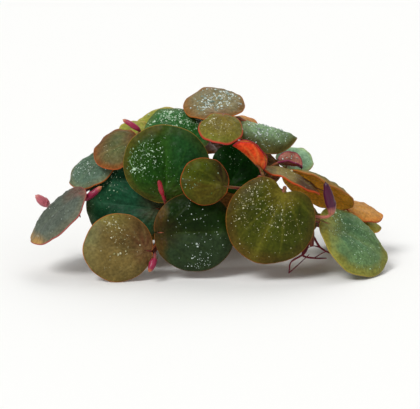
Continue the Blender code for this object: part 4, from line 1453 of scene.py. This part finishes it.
BUD_SKINS = {
    "pink": bud_finish("pink bud skin", "B8606A", "C27C74", "DCCCC8"),
    "crimson": bud_finish("crimson bud skin", "8C1C3E", "C07A48", "8A4A48"),
    "scarlet": bud_finish("scarlet bud skin", "98182A", "7E1620", "7A3028"),
    "purple": bud_finish("purple bud skin", "45082C", "340826", "B06A58"),
}
print(len(BUD_SKINS), "bud skins")

# %% [markdown]
# The neck and the body are one tube. The seam is a small step in the tube's radius.

# %% Bud meshes


def bud_shell(bud):
    """The neck and the rolled body as one tube. Its radius is the neck's plus a sine swelling, and the
    seam is a small step that winds round it one and a half times."""
    start, out = touch_point(bud.joins, bud.foot)
    path = smooth_path((start - out * INTO_STEM, bud.foot, bud.tip), BUD_RINGS)
    length = walked(path)
    neck = length[np.linalg.norm(path - np.array(bud.foot), axis=1).argmin()]
    share = np.clip((length - neck) / (length[-1] - neck), 0, 1)
    swell = np.sin(np.pi * share**0.75) ** 0.8
    radii = NECK_RADIUS + (bud.width / 2 - NECK_RADIUS) * swell
    radii = radii * (1 - 0.7 * soft_step(share, 0.92, 1.0))
    path, radii = round_ends(path, radii)
    along = walked(path)
    share = np.clip((along - neck) / (along[-1] - neck), 0, 1)
    turn = np.linspace(0, 2 * np.pi, BUD_SIDES + 1)
    winding = (turn / (2 * np.pi) + SEAM_TURNS * share[:, None]) % 1.0
    seam = SEAM_HEIGHT * (winding - 0.5) * soft_step(winding, 0.0, 0.08)
    seam = seam * soft_step(share, 0.0, 0.15)[:, None]
    return tube_shell(path, radii, BUD_SIDES, 0, seam)


for name, bud in BUDS.items():
    add_piece(name + "_bud", [bud_shell(bud)], [BUD_SKINS[bud.finish]], name)
print(len(BUDS), "buds")

# %% [markdown]
# ## Roots
#
# The roots give the plant its name: thin crimson threads that hang from the stems. Each is a thinning
# tube, and finer side roots leave some of them.

# %% Roots
ROOT_SIDES = 12
ROOT_RADIUS = 0.27
ROOT_TIP_RADIUS = 0.13
SIDE_ROOT_RADIUS = 0.13
ROOT_RINGS = 0.25

ROOTS = {
    "root_right_long": (
        ("stem_front_right", 0.97), ((18.2, -12.2, 4.2), (20.4, -12.4, 3.6), (22.8, -11.6, 3.4))
    ),
    "root_right_far": (("stem_front_right", 0.93), ((21.8, -10.6, 5.2), (24.2, -10.2, 3.8))),
    "root_right_high": (("stem_front_right", 0.9), ((18.6, -10.4, 6.0), (17.6, -10.0, 5.2))),
    "root_right_loop": (
        ("stem_front_right", 0.93), ((18.4, -14.0, 5.0), (15.9, -13.8, 3.2), (15.5, -13.4, 0.9))
    ),
    "root_left": (("stem_left", 0.86), ((-25.6, -7.6, 12.4), (-25.2, -8.0, 10.8))),
}
SIDE_ROOTS = {
    "root_right_long": ((20.4, -12.4, 3.6), (21.9, -12.6, 4.6), (22.9, -12.4, 5.0)),
    "root_right_loop": ((15.5, -13.4, 0.9), (17.3, -13.6, 2.6), (19.4, -12.8, 4.4)),
    "root_right_far": ((21.8, -10.6, 5.2), (20.4, -11.4, 5.8), (19.0, -12.2, 5.6)),
}

# %% [markdown]
# A root starts inside the skin of its stem, and a side root starts inside the root's own skin.

# %% Root meshes


def root_shell(path, thick, thin):
    """A thread that thins along its length, with slight swellings that come and go."""
    path = smooth_path(path, ROOT_RINGS)
    share = walked(path) / walked(path)[-1]
    radii = (thick + (thin - thick) * share) * (1 + 0.08 * np.sin(share * 23))
    path, radii = round_ends(path, radii, 3)
    return tube_shell(path, radii, ROOT_SIDES, 0)


for name, (joins, through) in ROOTS.items():
    start, out = touch_point(joins, through[0])
    main_root = np.vstack([start - out * INTO_STEM, through])
    shells = [root_shell(main_root, ROOT_RADIUS, ROOT_TIP_RADIUS)]
    if name in SIDE_ROOTS:
        shells.append(root_shell(SIDE_ROOTS[name], SIDE_ROOT_RADIUS, SIDE_ROOT_RADIUS * 0.6))
    add_piece(name + "_root", shells, [ROOT], name)
print(len(ROOTS), "roots")
